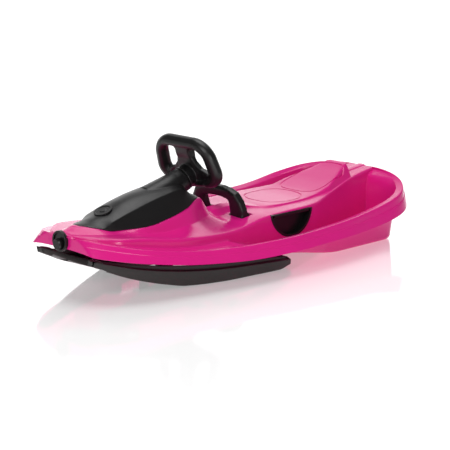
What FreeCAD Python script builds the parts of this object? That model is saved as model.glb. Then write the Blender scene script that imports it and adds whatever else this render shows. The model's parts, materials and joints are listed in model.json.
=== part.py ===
import FreeCAD, Part
import math
import os
import re
import Sketcher
from FreeCAD import Placement, Rotation, Vector

# Children's steering sled. X runs forward to the nose, Y to the rider's left, Z up from the snow.
# The origin is on the snow, midway along the sled. Sizes are in millimetres and degrees.

SIZES = {
    # hull moulding
    "hull_wall": 3.6,
    "rim_flat": 28.0,
    "rim_chamfer": 4.0,
    "rim_step": 1.0,
    "lip_depth": 34.0,
    "lip_depth_tail": 50.0,
    "lip_flare": 12.0,
    "nose_x": 588.0,
    "nose_round_x": 456.0,
    "nose_face_x": 584.0,
    "tail_x": -609.0,
    "tail_round_x": -400.0,
    "tail_bend_x": -580.0,
    "tail_curl_x": -595.0,
    "tail_face_x": -603.0,
    "station_gap": 58.0,
    "deck_edge": 6.0,
    "deck_margin": 8.0,
    "wall_lean": 0.07,
    # foot trenches, which are the runners from below
    "trench_front_x": 141.0,
    "trench_foot_x": 129.0,
    "trench_half": 188.0,
    "trench_deep": 100.0,
    "trench_rear_x": -500.0,
    "trench_end_x": -557.0,
    "runner_front_z": 90.0,
    "runner_rise_x": -110.0,
    "runner_rise_z": 30.0,
    "runner_flat_x": -300.0,
    # crowned saddle behind the console
    "saddle_front_x": 105.0,
    "saddle_front_crown": 36.0,
    "saddle_mid_x": 20.0,
    "saddle_mid_crown": 28.0,
    "saddle_rear_x": -120.0,
    "saddle_rear_crown": 4.0,
    # console opening and pads
    "opening_rear_x": 190.0,
    "opening_front_x": 464.0,
    "opening_margin": 24.0,
    "pad_x": 350.0,
    "pad_y": 69.0,
    "pad_long": 40.0,
    "pad_wide": 20.0,
    "pad_z": 168.0,
    "pad_deep": 18.0,
    # console cover
    "cover_wall": 2.8,
    "cover_gap": 0.5,
    "cover_front_x": 534.0,
    "cover_rear_x": 124.0,
    "shroud_radius": 35.0,
    "shroud_root_radius": 46.0,
    "shroud_wall": 4.0,
    "shroud_collar": 24.0,
    "shroud_long": 130.0,
    "medallion_radius": 23.0,
    "medallion_groove": 17.0,
    "medallion_boss": 7.0,
    "medallion_thick": 2.6,
    "medallion_x": 444.0,
    "medallion_z": 214.3,
    "medallion_tilt": 12.8,
    # steering column
    "column_x": 158.0,
    "column_z": 248.0,
    "column_tilt": 20.0,
    "column_radius": 9.0,
    "column_top": 29.0,
    "column_foot": -306.0,
    "run_gap": 0.05,
    "press_gap": 0.05,
    "upper_bush_top": -2.0,
    "upper_bush_long": 18.0,
    "upper_bush_radius": 30.9,
    "lower_bush_at": -204.0,
    "lower_bush_long": 36.0,
    "lower_bush_radius": 13.0,
    "bridge_thick": 4.0,
    "bridge_half": 76.0,
    "bridge_block_half": 18.0,
    "bridge_block_low": 158.0,
    "bridge_block_tall": 42.0,
    "screw_radius": 2.5,
    "screw_head": 5.0,
    "screw_head_tall": 4.0,
    "screw_hole": 3.0,
    "boss_radius": 6.0,
    "boss_tall": 16.0,
    "boss_y": 68.0,
    # steering wheel
    "wheel_plane": 41.0,
    "wheel_half": 92.0,
    "wheel_top": 106.0,
    "wheel_bottom": -24.0,
    "wheel_corner": 45.0,
    "wheel_bar": 16.0,
    "wheel_sides": 10.0,
    "wheel_seam": 2.0,
    "hub_radius": 35.0,
    "hub_waist": 30.0,
    "hub_disc": 38.0,
    "hub_face": 16.5,
    "spoke_thick": 20.0,
    "spoke_waist": 25.0,
    "spoke_root": 36.0,
    "cap_radius": 22.0,
    "cap_thick": 4.0,
    # crank and tie plate
    "crank_arm": 52.0,
    "crank_half": 12.0,
    "crank_thick": 6.0,
    "crank_hub": 16.0,
    "crank_hub_long": 18.0,
    "crank_pin_radius": 5.0,
    "crank_pin_head": 8.0,
    "crank_pin_head_tall": 4.0,
    "crank_pin_long": 24.0,
    "fork_at": -314.0,
    "fork_thick": 8.0,
    "fork_half": 22.0,
    "fork_play": 1.0,
    "fork_low": -66.0,
    "fork_top": -34.0,
    "tie_low": 76.0,
    "tie_thick": 6.0,
    "tie_half": 20.0,
    "tie_reach": 132.0,
    "tie_slot_play": 0.9,
    "tie_slot_run": 7.0,
    # skis and kingpins
    "ski_wall": 4.0,
    "ski_chamfer": 6.0,
    "ski_inner_tall": 22.0,
    "ski_rib": 3.0,
    "ski_rib_drop": 8.0,
    "ski_sink": 3.0,
    "kingpin_x": 320.0,
    "kingpin_y": 106.0,
    "kingpin_radius": 8.0,
    "kingpin_low": 8.0,
    "kingpin_top": 127.0,
    "pedestal_radius": 24.0,
    "pedestal_z": 60.3,
    "washer_radius": 20.0,
    "washer_thick": 1.6,
    "boss_tube_radius": 20.0,
    "boss_tube_low": 62.0,
    "boss_tube_top": 118.0,
    "web_thick": 4.0,
    "web_half": 46.0,
    "web_low": 96.0,
    "nut_gap": 0.4,
    "nut_tall": 8.0,
    "nut_radius": 13.0,
    "nut_room": 16.0,
    "nut_room_tall": 12.0,
    "steer_arm": 115.0,
    "post_radius": 14.0,
    "post_gap": 0.5,
    "steer_pin_radius": 5.0,
    "steer_pin_head": 11.0,
    "steer_pin_head_tall": 4.0,
    "steer_pin_deep": 34.0,
    # brake
    "brake_x": 4.0,
    "brake_z": 130.0,
    "barrel_radius": 17.5,
    "barrel_room": 19.0,
    "barrel_inner": 48.0,
    "barrel_outer": 100.0,
    "slot_back": 40.0,
    "slot_outer": 88.0,
    "arch_tall": 76.0,
    "arch_half": 62.0,
    "arch_corner": 34.0,
    "arch_lean": 14.0,
    "arch_bar_half": 14.0,
    "arch_bar_deep": 12.0,
    "arch_bar_chamfer": 6.0,
    "leg_flare": 44.0,
    "leg_low": 4.0,
    "leg_inset": 2.0,
    "shaft_radius": 5.0,
    "shaft_half": 97.0,
    "shaft_room": 6.0,
    "rib_y": 36.0,
    "rib_thick": 6.0,
    "rib_low": 106.0,
    "rib_half": 26.0,
    "brake_bush_radius": 9.0,
    "brake_bush_half": 5.0,
    "claw_long": 160.0,
    "claw_rest": 65.0,
    "claw_hub": 11.0,
    "claw_half": 8.0,
    "claw_deep": 14.0,
    "claw_blade_half": 34.0,
    "claw_blade_long": 24.0,
    "claw_blade_thick": 6.0,
    "claw_teeth": 5.0,
    "coil_radius": 9.4,
    "coil_inner": 6.0,
    "coil_long": 12.0,
    "coil_start": 13.0,
    # finger grips
    "grip_x": -128.0,
    "grip_z": 138.0,
    "grip_y": 147.6,
    "grip_half": 80.0,
    "grip_drop": 68.0,
    "grip_wall": 3.0,
    "grip_deep": 22.0,
    "grip_flange": 4.0,
    "grip_flange_thick": 2.0,
    "grip_gap": 0.6,
    "grip_room": 0.5,
    "grip_roll": 5.0,
    # tow gear in the nose
    "socket_z": 147.0,
    "socket_radius": 28.0,
    "socket_rim": 23.5,
    "socket_thick": 4.5,
    "socket_rim_tall": 4.0,
    "socket_gap": 0.3,
    "tow_z": 141.0,
    "tube_radius": 13.0,
    "tube_bore": 8.0,
    "tube_rear_x": 558.0,
    "tube_gap": 0.3,
    "knob_z": 139.5,
    "knob_radius": 15.5,
    "knob_back_x": 590.0,
    "knob_front_x": 603.0,
    "knob_round": 3.0,
    "rope_radius": 2.5,
    "rope_rear_x": 546.0,
    "rope_front_x": 589.6,
    "reel_x": 510.0,
    "reel_y": -30.0,
    "reel_low": 124.0,
    "reel_tall": 26.0,
    "reel_radius": 44.0,
    "reel_wall": 2.5,
    "reel_gap": 1.0,
    "axle_radius": 4.0,
    "drum_radius": 24.0,
    "drum_wall": 4.0,
    "spool_flange": 2.0,
    "rope_layer": 10.5,
    "rope_side_gap": 0.4,
    "ear_reach": 52.0,
    "ear_angle": 70.0,
    "ear_radius": 9.0,
    "ear_thick": 6.0,
    "stud_radius": 8.0,
    "stud_deep": 8.0,
    "screw_end_gap": 1.0,
}

# Lines plan of the hull: station, rim half width, rim height, deck half width, deck height
LINES = {
    "prow": (590.0, 166.0, 166.0, 172.0, 166.0),
    "bow": (456.0, 201.0, 134.0, 174.0, 151.0),
    "shin": (300.0, 236.0, 112.0, 178.0, 136.0),
    "knee": (105.0, 268.0, 101.0, 159.0, 121.0),
    "lap": (-38.0, 281.0, 103.5, 147.0, 138.0),
    "hip": (-160.0, 280.0, 109.0, 147.0, 150.0),
    "quarter": (-335.0, 264.0, 120.0, 129.0, 161.0),
    "stern": (-490.0, 255.0, 147.0, 67.0, 178.0),
    "tail": (-609.0, 250.0, 190.0, 48.0, 190.0),
}

# Console pod on the hull: station, foot half width, top half width, top height
POD = {
    "pod_tip": (572.0, 20.0, 6.0, 168.0),
    "pod_chin": (541.0, 46.0, 18.0, 180.0),
    "pod_brow": (500.0, 68.0, 46.0, 172.0),
    "pod_cheek": (456.0, 84.0, 64.0, 161.0),
    "pod_flank": (350.0, 100.0, 90.0, 163.0),
    "pod_back": (280.0, 100.0, 86.0, 175.0),
    "pod_neck": (200.0, 92.0, 70.0, 184.0),
    "pod_tail": (124.0, 60.0, 36.0, 199.0),
    "pod_end": (64.0, 34.0, 20.0, 199.0),
}

# Console cover: station, crest half width, crest height, top height
COVER = {
    "cover_tip": (534.0, 11.0, 184.5, 185.5),
    "cover_brow": (500.0, 32.0, 193.0, 197.5),
    "cover_cheek": (456.0, 46.0, 205.0, 211.0),
    "cover_flank": (390.0, 50.0, 219.0, 226.0),
    "cover_crown": (280.0, 54.0, 239.0, 247.0),
    "cover_peak": (205.0, 52.0, 243.0, 251.0),
    "cover_fall": (150.0, 38.0, 211.0, 215.0),
    "cover_end": (124.0, 24.0, 203.0, 205.0),
}

# Seat platform: station, half width, height
SEAT = {
    "seat_front": (-62.0, 34.0, 152.0),
    "seat_edge": (-104.0, 84.0, 155.0),
    "seat_wide": (-168.0, 112.0, 157.0),
    "seat_mid": (-230.0, 117.0, 160.0),
    "seat_fold": (-297.0, 108.0, 165.0),
    "seat_rise": (-380.0, 100.0, 179.0),
    "seat_back": (-444.0, 82.0, 201.0),
    "seat_top": (-486.0, 54.0, 226.0),
    "seat_end": (-520.0, 22.0, 228.0),
}

# Ski: station, inner edge, outer edge, bottom height, top edge height
SKI = {
    "ski_tip": (574.0, 50.0, 106.0, 90.0, 103.0),
    "ski_scoop": (540.0, 47.0, 115.0, 73.0, 94.0),
    "ski_toe": (500.0, 46.0, 123.0, 54.0, 83.0),
    "ski_rise": (430.0, 50.0, 137.0, 27.0, 68.0),
    "ski_curve": (353.0, 56.0, 152.0, 8.0, 58.0),
    "ski_start": (290.0, 62.0, 164.0, 0.0, 52.0),
    "ski_mid": (180.0, 72.0, 185.0, 0.0, 47.0),
    "ski_heel": (60.0, 88.0, 203.0, 0.0, 42.0),
    "ski_run": (-45.0, 98.0, 213.0, 0.0, 34.0),
    "ski_end": (-68.0, 102.0, 207.0, 3.0, 29.0),
}

TABLES = (
    (LINES, ("x", "rim_half", "rim_z", "deck_half", "deck_z")),
    (POD, ("x", "foot", "half", "z")),
    (COVER, ("x", "half", "z", "top")),
    (SEAT, ("x", "half", "z")),
    (SKI, ("x", "inner", "outer", "low", "top")),
)
for table, fields in TABLES:
    for name, row in table.items():
        for field, value in zip(fields, row):
            SIZES[f"{name}_{field}"] = value

doc = FreeCAD.newDocument("steering_sled")
sheet = doc.addObject("Spreadsheet::Sheet", "Sizes")
for row, (alias, value) in enumerate(SIZES.items(), start=1):
    sheet.set(f"A{row}", alias)
    sheet.set(f"B{row}", str(value))
    sheet.setAlias(f"B{row}", alias)
doc.recompute()


values = {alias: float(sheet.get(alias)) for alias in SIZES}


def size(alias):
    return values[alias]


# Helpers for bound features


def bound(text):
    return re.sub(r"[a-z][a-z0-9_]*(?![a-z0-9_(])", r"Sizes.\g<0>", text)


def worth(text):
    return float(sheet.evalExpression(bound(text)))


def place(item, base, axis=None, angle="0"):
    spot = Vector(worth(base[0]), worth(base[1]), worth(base[2]))
    item.Placement = Placement(spot, Rotation(axis or Vector(0, 0, 1), worth(angle)))
    for field, text in zip("xyz", base):
        item.setExpression(f"Placement.Base.{field}", bound(text))
    return item


def turned(label, points, base=("0", "0", "0"), axis=None, angle="0"):
    # A turned piece: a closed profile of radius and height pairs, revolved about the body's Z axis
    body = doc.addObject("PartDesign::Body", label)
    sketch = body.newObject("Sketcher::SketchObject", f"{label}_profile")
    front = next(item for item in body.Origin.OriginFeatures if item.Role == "XZ_Plane")
    sketch.AttachmentSupport = [(front, "")]
    sketch.MapMode = "FlatFace"
    corners = [Vector(worth(radius), worth(height), 0) for radius, height in points]
    count = len(corners)
    for index in range(count):
        sketch.addGeometry(Part.LineSegment(corners[index], corners[(index + 1) % count]))
    for index in range(count):
        sketch.addConstraint(Sketcher.Constraint("Coincident", index, 2, (index + 1) % count, 1))
    for index, (radius, height) in enumerate(points):
        for kind, text, number, line in (
            ("DistanceX", radius, corners[index].x, -2),
            ("DistanceY", height, corners[index].y, -1),
        ):
            if text == "0":
                sketch.addConstraint(Sketcher.Constraint("PointOnObject", index, 1, line))
            else:
                datum = sketch.addConstraint(Sketcher.Constraint(kind, -1, 1, index, 1, number))
                sketch.setExpression(f"Constraints[{datum}]", bound(text))
    spin = body.newObject("PartDesign::Revolution", f"{label}_turn")
    spin.Profile = sketch
    spin.ReferenceAxis = (sketch, ["V_Axis"])
    spin.Angle = 360
    return place(body, base, axis, angle)


def ring(label, inner, outer, low, high, **spot):
    return turned(label, [(inner, low), (outer, low), (outer, high), (inner, high)], **spot)


def keep(label, shape, base=Vector(), turn=Rotation()):
    item = doc.addObject("Part::Feature", label)
    item.Shape = shape
    item.Placement = Placement(base, turn)
    return item


def box(x_range, y_range, z_range):
    lows = Vector(min(x_range), min(y_range), min(z_range))
    spans = [abs(span[1] - span[0]) for span in (x_range, y_range, z_range)]
    return Part.makeBox(*spans, lows)


def rod(radius, start, end):
    run = Vector(end) - Vector(start)
    return Part.makeCylinder(radius, run.Length, Vector(start), run)


def plate(points, thickness):
    # A flat plate: polygon in the XY plane, padded upward
    corners = [Vector(across, along, 0) for across, along in points]
    face = Part.Face(Part.makePolygon(corners + corners[:1]))
    return face.extrude(Vector(0, 0, thickness))


# Lines plan maths


def curve(points):
    # Smooth curve through the points that never overshoots them
    knots = sorted(points)
    spans = [b[0] - a[0] for a, b in zip(knots, knots[1:])]
    rises = [(b[1] - a[1]) / span for a, b, span in zip(knots, knots[1:], spans)]
    slopes = [rises[0]]
    for left, right, before, after in zip(rises, rises[1:], spans, spans[1:]):
        if left * right <= 0:
            slopes.append(0.0)
        else:
            early, late = 2 * after + before, after + 2 * before
            slopes.append((early + late) / (early / left + late / right))
    slopes.append(rises[-1])

    def at(x):
        x = min(max(x, knots[0][0]), knots[-1][0])
        index = max([k for k in range(len(spans)) if knots[k][0] <= x], default=0)
        u = (x - knots[index][0]) / spans[index]
        start, end = knots[index][1], knots[index + 1][1]
        lean = u * (1 - u) ** 2 * slopes[index] + u * u * (u - 1) * slopes[index + 1]
        return (1 + 2 * u) * (1 - u) ** 2 * start + u * u * (3 - 2 * u) * end + spans[index] * lean

    return at


def step(x, start, end):
    u = min(1.0, max(0.0, (x - start) / (end - start)))
    return u * u * (3 - 2 * u)


def plan(table, field):
    return curve([(size(f"{name}_x"), size(f"{name}_{field}")) for name in table])


def along(*pairs):
    return curve([(size(where), size(value)) for where, value in pairs])


rim_half = plan(LINES, "rim_half")
rim_z = plan(LINES, "rim_z")
deck_half = plan(LINES, "deck_half")
deck_z = plan(LINES, "deck_z")
pod_foot = plan(POD, "foot")
pod_half = plan(POD, "half")
pod_z = plan(POD, "z")
runner_z = curve([
    (size("trench_front_x"), size("runner_front_z")),
    (size("runner_rise_x"), size("runner_rise_z")),
    (size("runner_flat_x"), 0.0),
    (size("trench_rear_x"), 0.0),
])
crown = along(
    ("prow_x", "deck_edge"),
    ("bow_x", "deck_edge"),
    ("saddle_front_x", "saddle_front_crown"),
    ("saddle_mid_x", "saddle_mid_crown"),
    ("saddle_rear_x", "saddle_rear_crown"),
    ("stern_x", "saddle_rear_crown"),
)
seat_half = plan(SEAT, "half")
seat_z = plan(SEAT, "z")


def crest(x):
    # Rim crest half width, drawn in at the blunt nose and the rounded tail
    nose = max(0.0, (x - size("nose_round_x")) / (size("nose_x") - size("nose_round_x")))
    tail = max(0.0, (x - size("tail_round_x")) / (size("tail_x") - size("tail_round_x")))
    return rim_half(x) * (1 - nose ** 2) ** (1 / 3) * (1 - tail ** 3) ** (2 / 5)


def hull_half(x):
    # Half section of the hull's upper face from the centre line out to the lip
    half, rim, deck = crest(x), rim_z(x), deck_z(x)
    edge, cut, seam = size("deck_edge"), size("rim_chamfer"), size("rim_step")
    lip = size("lip_depth")
    lip += (size("lip_depth_tail") - lip) * step(x, size("lap_x"), size("tail_x"))
    inner = max(half - size("rim_flat"), 0.6 * half)
    shoulder = min(deck_half(x), inner - size("deck_margin"))
    floor = runner_z(x) + size("hull_wall")
    ramp = (x - size("trench_rear_x")) / (size("trench_end_x") - size("trench_rear_x"))
    floor += (rim - floor) * min(1.0, max(0.0, ramp))
    floor = rim + (floor - rim) * step(x, size("trench_front_x"), size("trench_foot_x"))
    floor = min(floor, rim - seam)
    wall_foot = min(shoulder + size("wall_lean") * (deck - floor), inner - 2 * seam)
    sink = min(1.0, (rim - floor) / size("trench_deep")) * step(x, size("tail_x"), size("stern_x"))
    wall_out = max(inner - (inner - size("trench_half")) * sink, wall_foot + 2 * seam)
    pod = step(x, size("pod_end_x"), size("pod_tail_x"))
    seat = step(x, size("seat_front_x"), size("seat_edge_x"))
    seat *= 1 - step(x, size("seat_top_x"), size("seat_end_x"))
    foot = pod_foot(x) if x > size("seat_front_x") else seat_half(x)
    foot = min(foot, shoulder - 2 * edge)
    top = pod_half(x) if x > size("seat_front_x") else foot - edge
    top = min(top, foot - edge / 3)
    foot_z = deck + 0.25 * crown(x)
    edge_z = max(
        deck + 0.75 * crown(x),
        foot_z + (pod_z(x) - foot_z) * pod,
        foot_z + (seat_z(x) - foot_z) * seat,
    )
    centre_z = max(deck + crown(x), edge_z)
    return [
        (0.0, centre_z),
        (top, edge_z),
        (foot, foot_z),
        (shoulder - edge, deck),
        (shoulder, deck - edge),
        (wall_foot, floor),
        (wall_out, floor),
        (inner, rim),
        (half - cut, rim),
        (half, rim - cut),
        (half + size("lip_flare"), rim - lip),
    ]


def inside(points, wall):
    # The half section moved inward by the wall, with mitred corners
    lines = []
    for start, end in zip(points, points[1:]):
        run = math.hypot(end[0] - start[0], end[1] - start[1])
        lines.append(((end[1] - start[1]) / run, (start[0] - end[0]) / run) if run > 1e-6 else None)
    moved = []
    for index, point in enumerate(points):
        before = next((line for line in reversed(lines[:index]) if line), None)
        after = next((line for line in lines[index:] if line), None)
        before, after = before or after, after or before
        if index == 0:
            before = after = (0.0, -1.0)
        across, up = before[0] + after[0], before[1] + after[1]
        span = math.hypot(across, up)
        across, up = across / span, up / span
        mitre = wall / max(0.6, across * before[0] + up * before[1])
        moved.append((point[0] + across * mitre, point[1] + up * mitre))
    # the free edge is cut level
    moved[-1] = (points[-1][0] + wall / lines[-1][0], points[-1][1])
    return moved


def mirrored(points):
    return [(-across, up) for across, up in reversed(points[1:])] + points


def set_out(x, loop):
    return [Vector(x, across, up) for across, up in loop]


def flat(corners):
    return Part.Face(Part.makePolygon(corners + corners[:1]))


def panelled(loops):
    # Solid of flat panels between the closed station loops. A twisted panel is folded along its diagonal.
    panels = [flat(loops[0]), flat(loops[-1])]
    for near, far in zip(loops, loops[1:]):
        for index in range(len(near)):
            a, b, c, d = near[index - 1], near[index], far[index], far[index - 1]
            if a.y + b.y < 0:
                a, b, c, d = b, a, d, c
            across = (b - a).cross(c - a)
            if abs(across.dot(d - a)) < 1e-7 * across.Length:
                panels.append(flat([a, b, c, d]))
            else:
                panels += [flat([a, b, c]), flat([a, c, d])]
    shell = Part.Shell(panels)
    shell.sewShape()
    solid = Part.Solid(shell)
    if solid.Volume < 0:
        solid.reverse()
    return solid


def skin(stations, half, wall):
    # Thin-walled moulding: every station is a mirrored section with its own inner line
    loops = []
    for x in stations:
        points = half(x)
        loops.append(set_out(x, mirrored(points) + mirrored(inside(points, wall))[::-1]))
    return panelled(loops)


def end_plate(x, half, wall):
    return flat(set_out(x, mirrored(half(x)))).extrude(Vector(wall, 0, 0))


def stations_through(marks):
    # The named stations, with even ones between where they are far apart
    named = sorted(size(mark) for mark in marks)
    stations = []
    for start, end in zip(named, named[1:]):
        parts = math.ceil((end - start) / size("station_gap"))
        stations += [start + (end - start) * part / parts for part in range(parts)]
    return stations + named[-1:]


# Hull

hull_stations = stations_through((
    "nose_face_x", "pod_tip_x", "pod_chin_x", "cover_front_x", "pod_brow_x", "bow_x", "pad_x", "pod_back_x", "pod_neck_x",
    "trench_front_x", "trench_foot_x", "cover_rear_x", "pod_end_x", "saddle_mid_x", "seat_front_x", "seat_edge_x",
    "seat_wide_x", "seat_mid_x", "seat_fold_x", "quarter_x", "seat_rise_x", "seat_back_x", "seat_top_x", "trench_rear_x",
    "seat_end_x", "trench_end_x", "tail_bend_x", "tail_curl_x", "tail_face_x",
))
wall = size("hull_wall")
hull = skin(hull_stations, hull_half, wall)
hull = hull.fuse([
    end_plate(size("nose_face_x"), hull_half, -wall),
    end_plate(size("tail_face_x"), hull_half, wall),
])


def core_loop(x):
    # Everything below the middle of the skin, used to trim ribs and bosses to the moulding
    loop = mirrored(inside(hull_half(x), wall / 2))
    return set_out(x, loop + [(loop[-1][0], -2 * wall), (loop[0][0], -2 * wall)])


core = panelled([core_loop(x) for x in hull_stations])
roof = size("column_z")
king_x, king_y = size("kingpin_x"), size("kingpin_y")
web = size("web_thick") / 2
brake = Vector(size("brake_x"), 0, size("brake_z"))
reel = Vector(size("reel_x"), size("reel_y"), size("reel_low"))
reel_top = size("reel_low") + size("reel_tall")
ears = []
for turn in (size("ear_angle"), size("ear_angle") + 180):
    ears.append(reel + Rotation(Vector(0, 0, 1), turn).multVec(Vector(size("ear_reach"), 0, 0)))
ribs = []
for side in (1, -1):
    y = side * king_y
    reach = size("web_half")
    ribs.append(rod(size("boss_tube_radius"), (king_x, y, size("boss_tube_low")), (king_x, y, roof)))
    ribs.append(box((king_x - reach, king_x + reach), (y - web, y + web), (size("web_low"), roof)))
    ribs.append(box((king_x - web, king_x + web), (y - reach, y + reach), (size("web_low"), roof)))
    half = size("rib_thick") / 2
    y = side * size("rib_y")
    reach = size("rib_half")
    ribs.append(box((brake.x - reach, brake.x + reach), (y - half, y + half), (size("rib_low"), roof)))
for ear in ears:
    ribs.append(rod(size("stud_radius"), (ear.x, ear.y, reel_top), (ear.x, ear.y, roof)))
for x in (size("seat_fold_x"), size("seat_back_x")):
    reach = seat_half(x)
    ribs.append(box((x - web, x + web), (-reach, reach), (size("rib_low"), roof)))
hull = hull.fuse([rib.common(core) for rib in ribs])

cuts = []
edge_stations = [x for x in hull_stations if size("opening_rear_x") < x < size("opening_front_x")]
edge_stations = [size("opening_rear_x")] + edge_stations + [size("opening_front_x")]
outline = [(x, pod_half(x) - size("opening_margin")) for x in edge_stations]
outline += [(x, -reach) for x, reach in reversed(outline)]
opening = plate(outline, size("pad_deep") * 4)
opening.translate(Vector(0, 0, size("bow_deck_z") - size("pad_deep")))
cuts.append(opening)
nose = size("nose_x")
tow_z = size("tow_z")
tube_room = size("tube_radius") + size("tube_gap")
cuts.append(rod(tube_room, (size("tube_rear_x"), 0, tow_z), (nose, 0, tow_z)))
room = size("barrel_room") - size("barrel_radius")
reach = size("barrel_outer")
cuts.append(rod(size("shaft_room"), (brake.x, -reach, brake.z), (brake.x, reach, brake.z)))
for side in (1, -1):
    inner, outer = side * (size("barrel_inner") - room), side * (size("barrel_outer") + room)
    cuts.append(rod(size("barrel_room"), (brake.x, inner, brake.z), (brake.x, outer, brake.z)))
    slot_end = side * size("slot_outer")
    cuts.append(box((brake.x - size("slot_back"), brake.x), (inner, slot_end), (brake.z, roof)))
    bush_hole = size("brake_bush_radius") + size("press_gap")
    rib_mid = side * size("rib_y")
    half = side * size("rib_thick")
    cuts.append(rod(bush_hole, (brake.x, rib_mid - half, brake.z), (brake.x, rib_mid + half, brake.z)))
    y = side * king_y
    bore = size("kingpin_radius") + size("run_gap")
    top = size("boss_tube_top")
    cuts.append(rod(bore, (king_x, y, 0), (king_x, y, top)))
    nut_room, nut_top = size("nut_room"), top + size("nut_room_tall")
    cuts.append(rod(nut_room, (king_x, y, top), (king_x, y, nut_top)))
    cuts.append(box((king_x - nut_room, king_x + nut_room), (y, y - side * 2 * nut_room), (top, nut_top)))
for ear in ears:
    cuts.append(rod(size("screw_radius") + size("press_gap"), ear, Vector(ear.x, ear.y, reel_top + size("stud_deep"))))


# Finger grips: half-round cups in the deck's side walls


def half_round(reach, drop, start, end, top=0.0):
    # Bow shape hanging from a straight top edge, padded along Y
    left, foot, right = Vector(-reach, start, top), Vector(0, start, top - drop), Vector(reach, start, top)
    bow = Part.Arc(left, foot, right).toShape()
    face = Part.Face(Part.Wire([bow, Part.makeLine(right, left)]))
    return face.extrude(Vector(0, end - start, 0))


grip_reach, grip_drop = size("grip_half"), size("grip_drop")
grip_wall, grip_deep = size("grip_wall"), size("grip_deep")
flange, face_start = size("grip_flange"), size("grip_gap")
face_end = face_start + size("grip_flange_thick")
cup = half_round(grip_reach, grip_drop, -grip_deep, face_start)
cup = cup.fuse(half_round(grip_reach + flange, grip_drop + flange, face_start, face_end))
cup = cup.cut(half_round(grip_reach - grip_wall, grip_drop - 2 * grip_wall, grip_wall - grip_deep, grip_deep, -grip_wall))
roll = size("grip_roll")
roll_reach = grip_reach - 2 * roll
cup = cup.fuse(rod(roll, (-roll_reach, face_end - roll, -roll), (roll_reach, face_end - roll, -roll)))
lean = math.degrees(math.atan(size("wall_lean")))
room = size("grip_room")
grip_room = half_round(grip_reach + room, grip_drop + 2 * room, -grip_deep - room, 2 * wall, room)
for side, label in ((1, "grip_left"), (-1, "grip_right")):
    spot = Placement(
        Vector(size("grip_x"), side * size("grip_y"), size("grip_z")),
        Rotation(Vector(0, 0, 1), 0 if side > 0 else 180).multiply(Rotation(Vector(1, 0, 0), lean)),
    )
    keep(label, cup, spot.Base, spot.Rotation)
    cuts.append(grip_room.transformed(spot.toMatrix()))

hull = hull.cut(cuts)
pads = []
for side in (1, -1):
    reach, half = size("pad_long") / 2, size("pad_wide") / 2
    y_range = (side * (size("pad_y") - half), side * (size("pad_y") + half))
    z_range = (size("pad_z") - size("pad_deep"), size("pad_z"))
    pads.append(box((size("pad_x") - reach, size("pad_x") + reach), y_range, z_range))
hull = hull.fuse(pads)
screw_spots = [Vector(size("pad_x"), side * size("boss_y"), 0) for side in (1, -1)]
hull = hull.cut([rod(size("screw_hole"), spot, spot + Vector(0, 0, roof)) for spot in screw_spots])
keep("hull", hull)

# Console cover with the column shroud

cover_crest = plan(COVER, "half")
cover_crest_z = plan(COVER, "z")
cover_top = plan(COVER, "top")


def cover_half(x):
    return [
        (0.0, cover_top(x)),
        (0.55 * cover_crest(x), cover_top(x) - 0.4),
        (cover_crest(x), cover_crest_z(x)),
        (pod_half(x), pod_z(x) + size("cover_gap")),
    ]


to_column = Rotation(Vector(0, 1, 0), size("column_tilt") - 90)
column_at = Vector(size("column_x"), 0, size("column_z"))
column_spot = Placement(column_at, to_column)


def on_column(shape):
    return shape.transformed(column_spot.toMatrix())


cover_wall = size("cover_wall")
front, rear = size("cover_front_x"), size("cover_rear_x")
cover_stations = [x for x in hull_stations if rear <= x <= front]
cover = skin(cover_stations, cover_half, cover_wall)
cover = cover.fuse([end_plate(front, cover_half, -cover_wall), end_plate(rear, cover_half, cover_wall)])
collar, shroud_long = size("shroud_collar"), size("shroud_long")
tube, root, shroud_wall = size("shroud_radius"), size("shroud_root_radius"), size("shroud_wall")
outer = Part.makeCylinder(tube, collar, Vector(0, 0, -collar)).fuse(
    Part.makeCone(root, tube, shroud_long - collar, Vector(0, 0, -shroud_long)))
bore = Part.makeCylinder(tube - shroud_wall, collar + 2, Vector(0, 0, -collar)).fuse(
    Part.makeCone(root - shroud_wall, tube - shroud_wall, shroud_long - collar, Vector(0, 0, -shroud_long)))
cover = cover.fuse(on_column(outer)).cut(on_column(bore))
boss_low = size("pad_z") + size("bridge_thick")
cover = cover.fuse([rod(size("boss_radius"), spot + Vector(0, 0, boss_low),
                        spot + Vector(0, 0, boss_low + size("boss_tall"))) for spot in screw_spots])
screw_top = boss_low + size("boss_tall") - size("screw_head_tall")
cover = cover.cut([rod(size("screw_radius") + size("press_gap"), spot, spot + Vector(0, 0, screw_top))
                   for spot in screw_spots])
keep("console_cover", cover)

screws = []
for spot in screw_spots:
    low = size("pad_z") - size("pad_deep")
    shank = rod(size("screw_radius"), spot + Vector(0, 0, low), spot + Vector(0, 0, screw_top - size("screw_end_gap")))
    screws.append(shank.fuse(rod(size("screw_head"), spot + Vector(0, 0, low - size("screw_head_tall")),
                                 spot + Vector(0, 0, low))))
keep("console_screws", Part.makeCompound(screws))

turned(
    "console_medallion",
    [
        ("0", "0"),
        ("medallion_radius", "0"),
        ("medallion_radius", "medallion_thick"),
        ("medallion_groove + 2", "medallion_thick"),
        ("medallion_groove", "medallion_thick / 2"),
        ("medallion_boss + 2", "medallion_thick / 2"),
        ("medallion_boss", "medallion_thick"),
        ("0", "medallion_thick"),
    ],
    base=("medallion_x", "0", "medallion_z"),
    axis=Vector(0, 1, 0),
    angle="medallion_tilt",
)

# Steering column, bushes and bearing bridge

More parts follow.
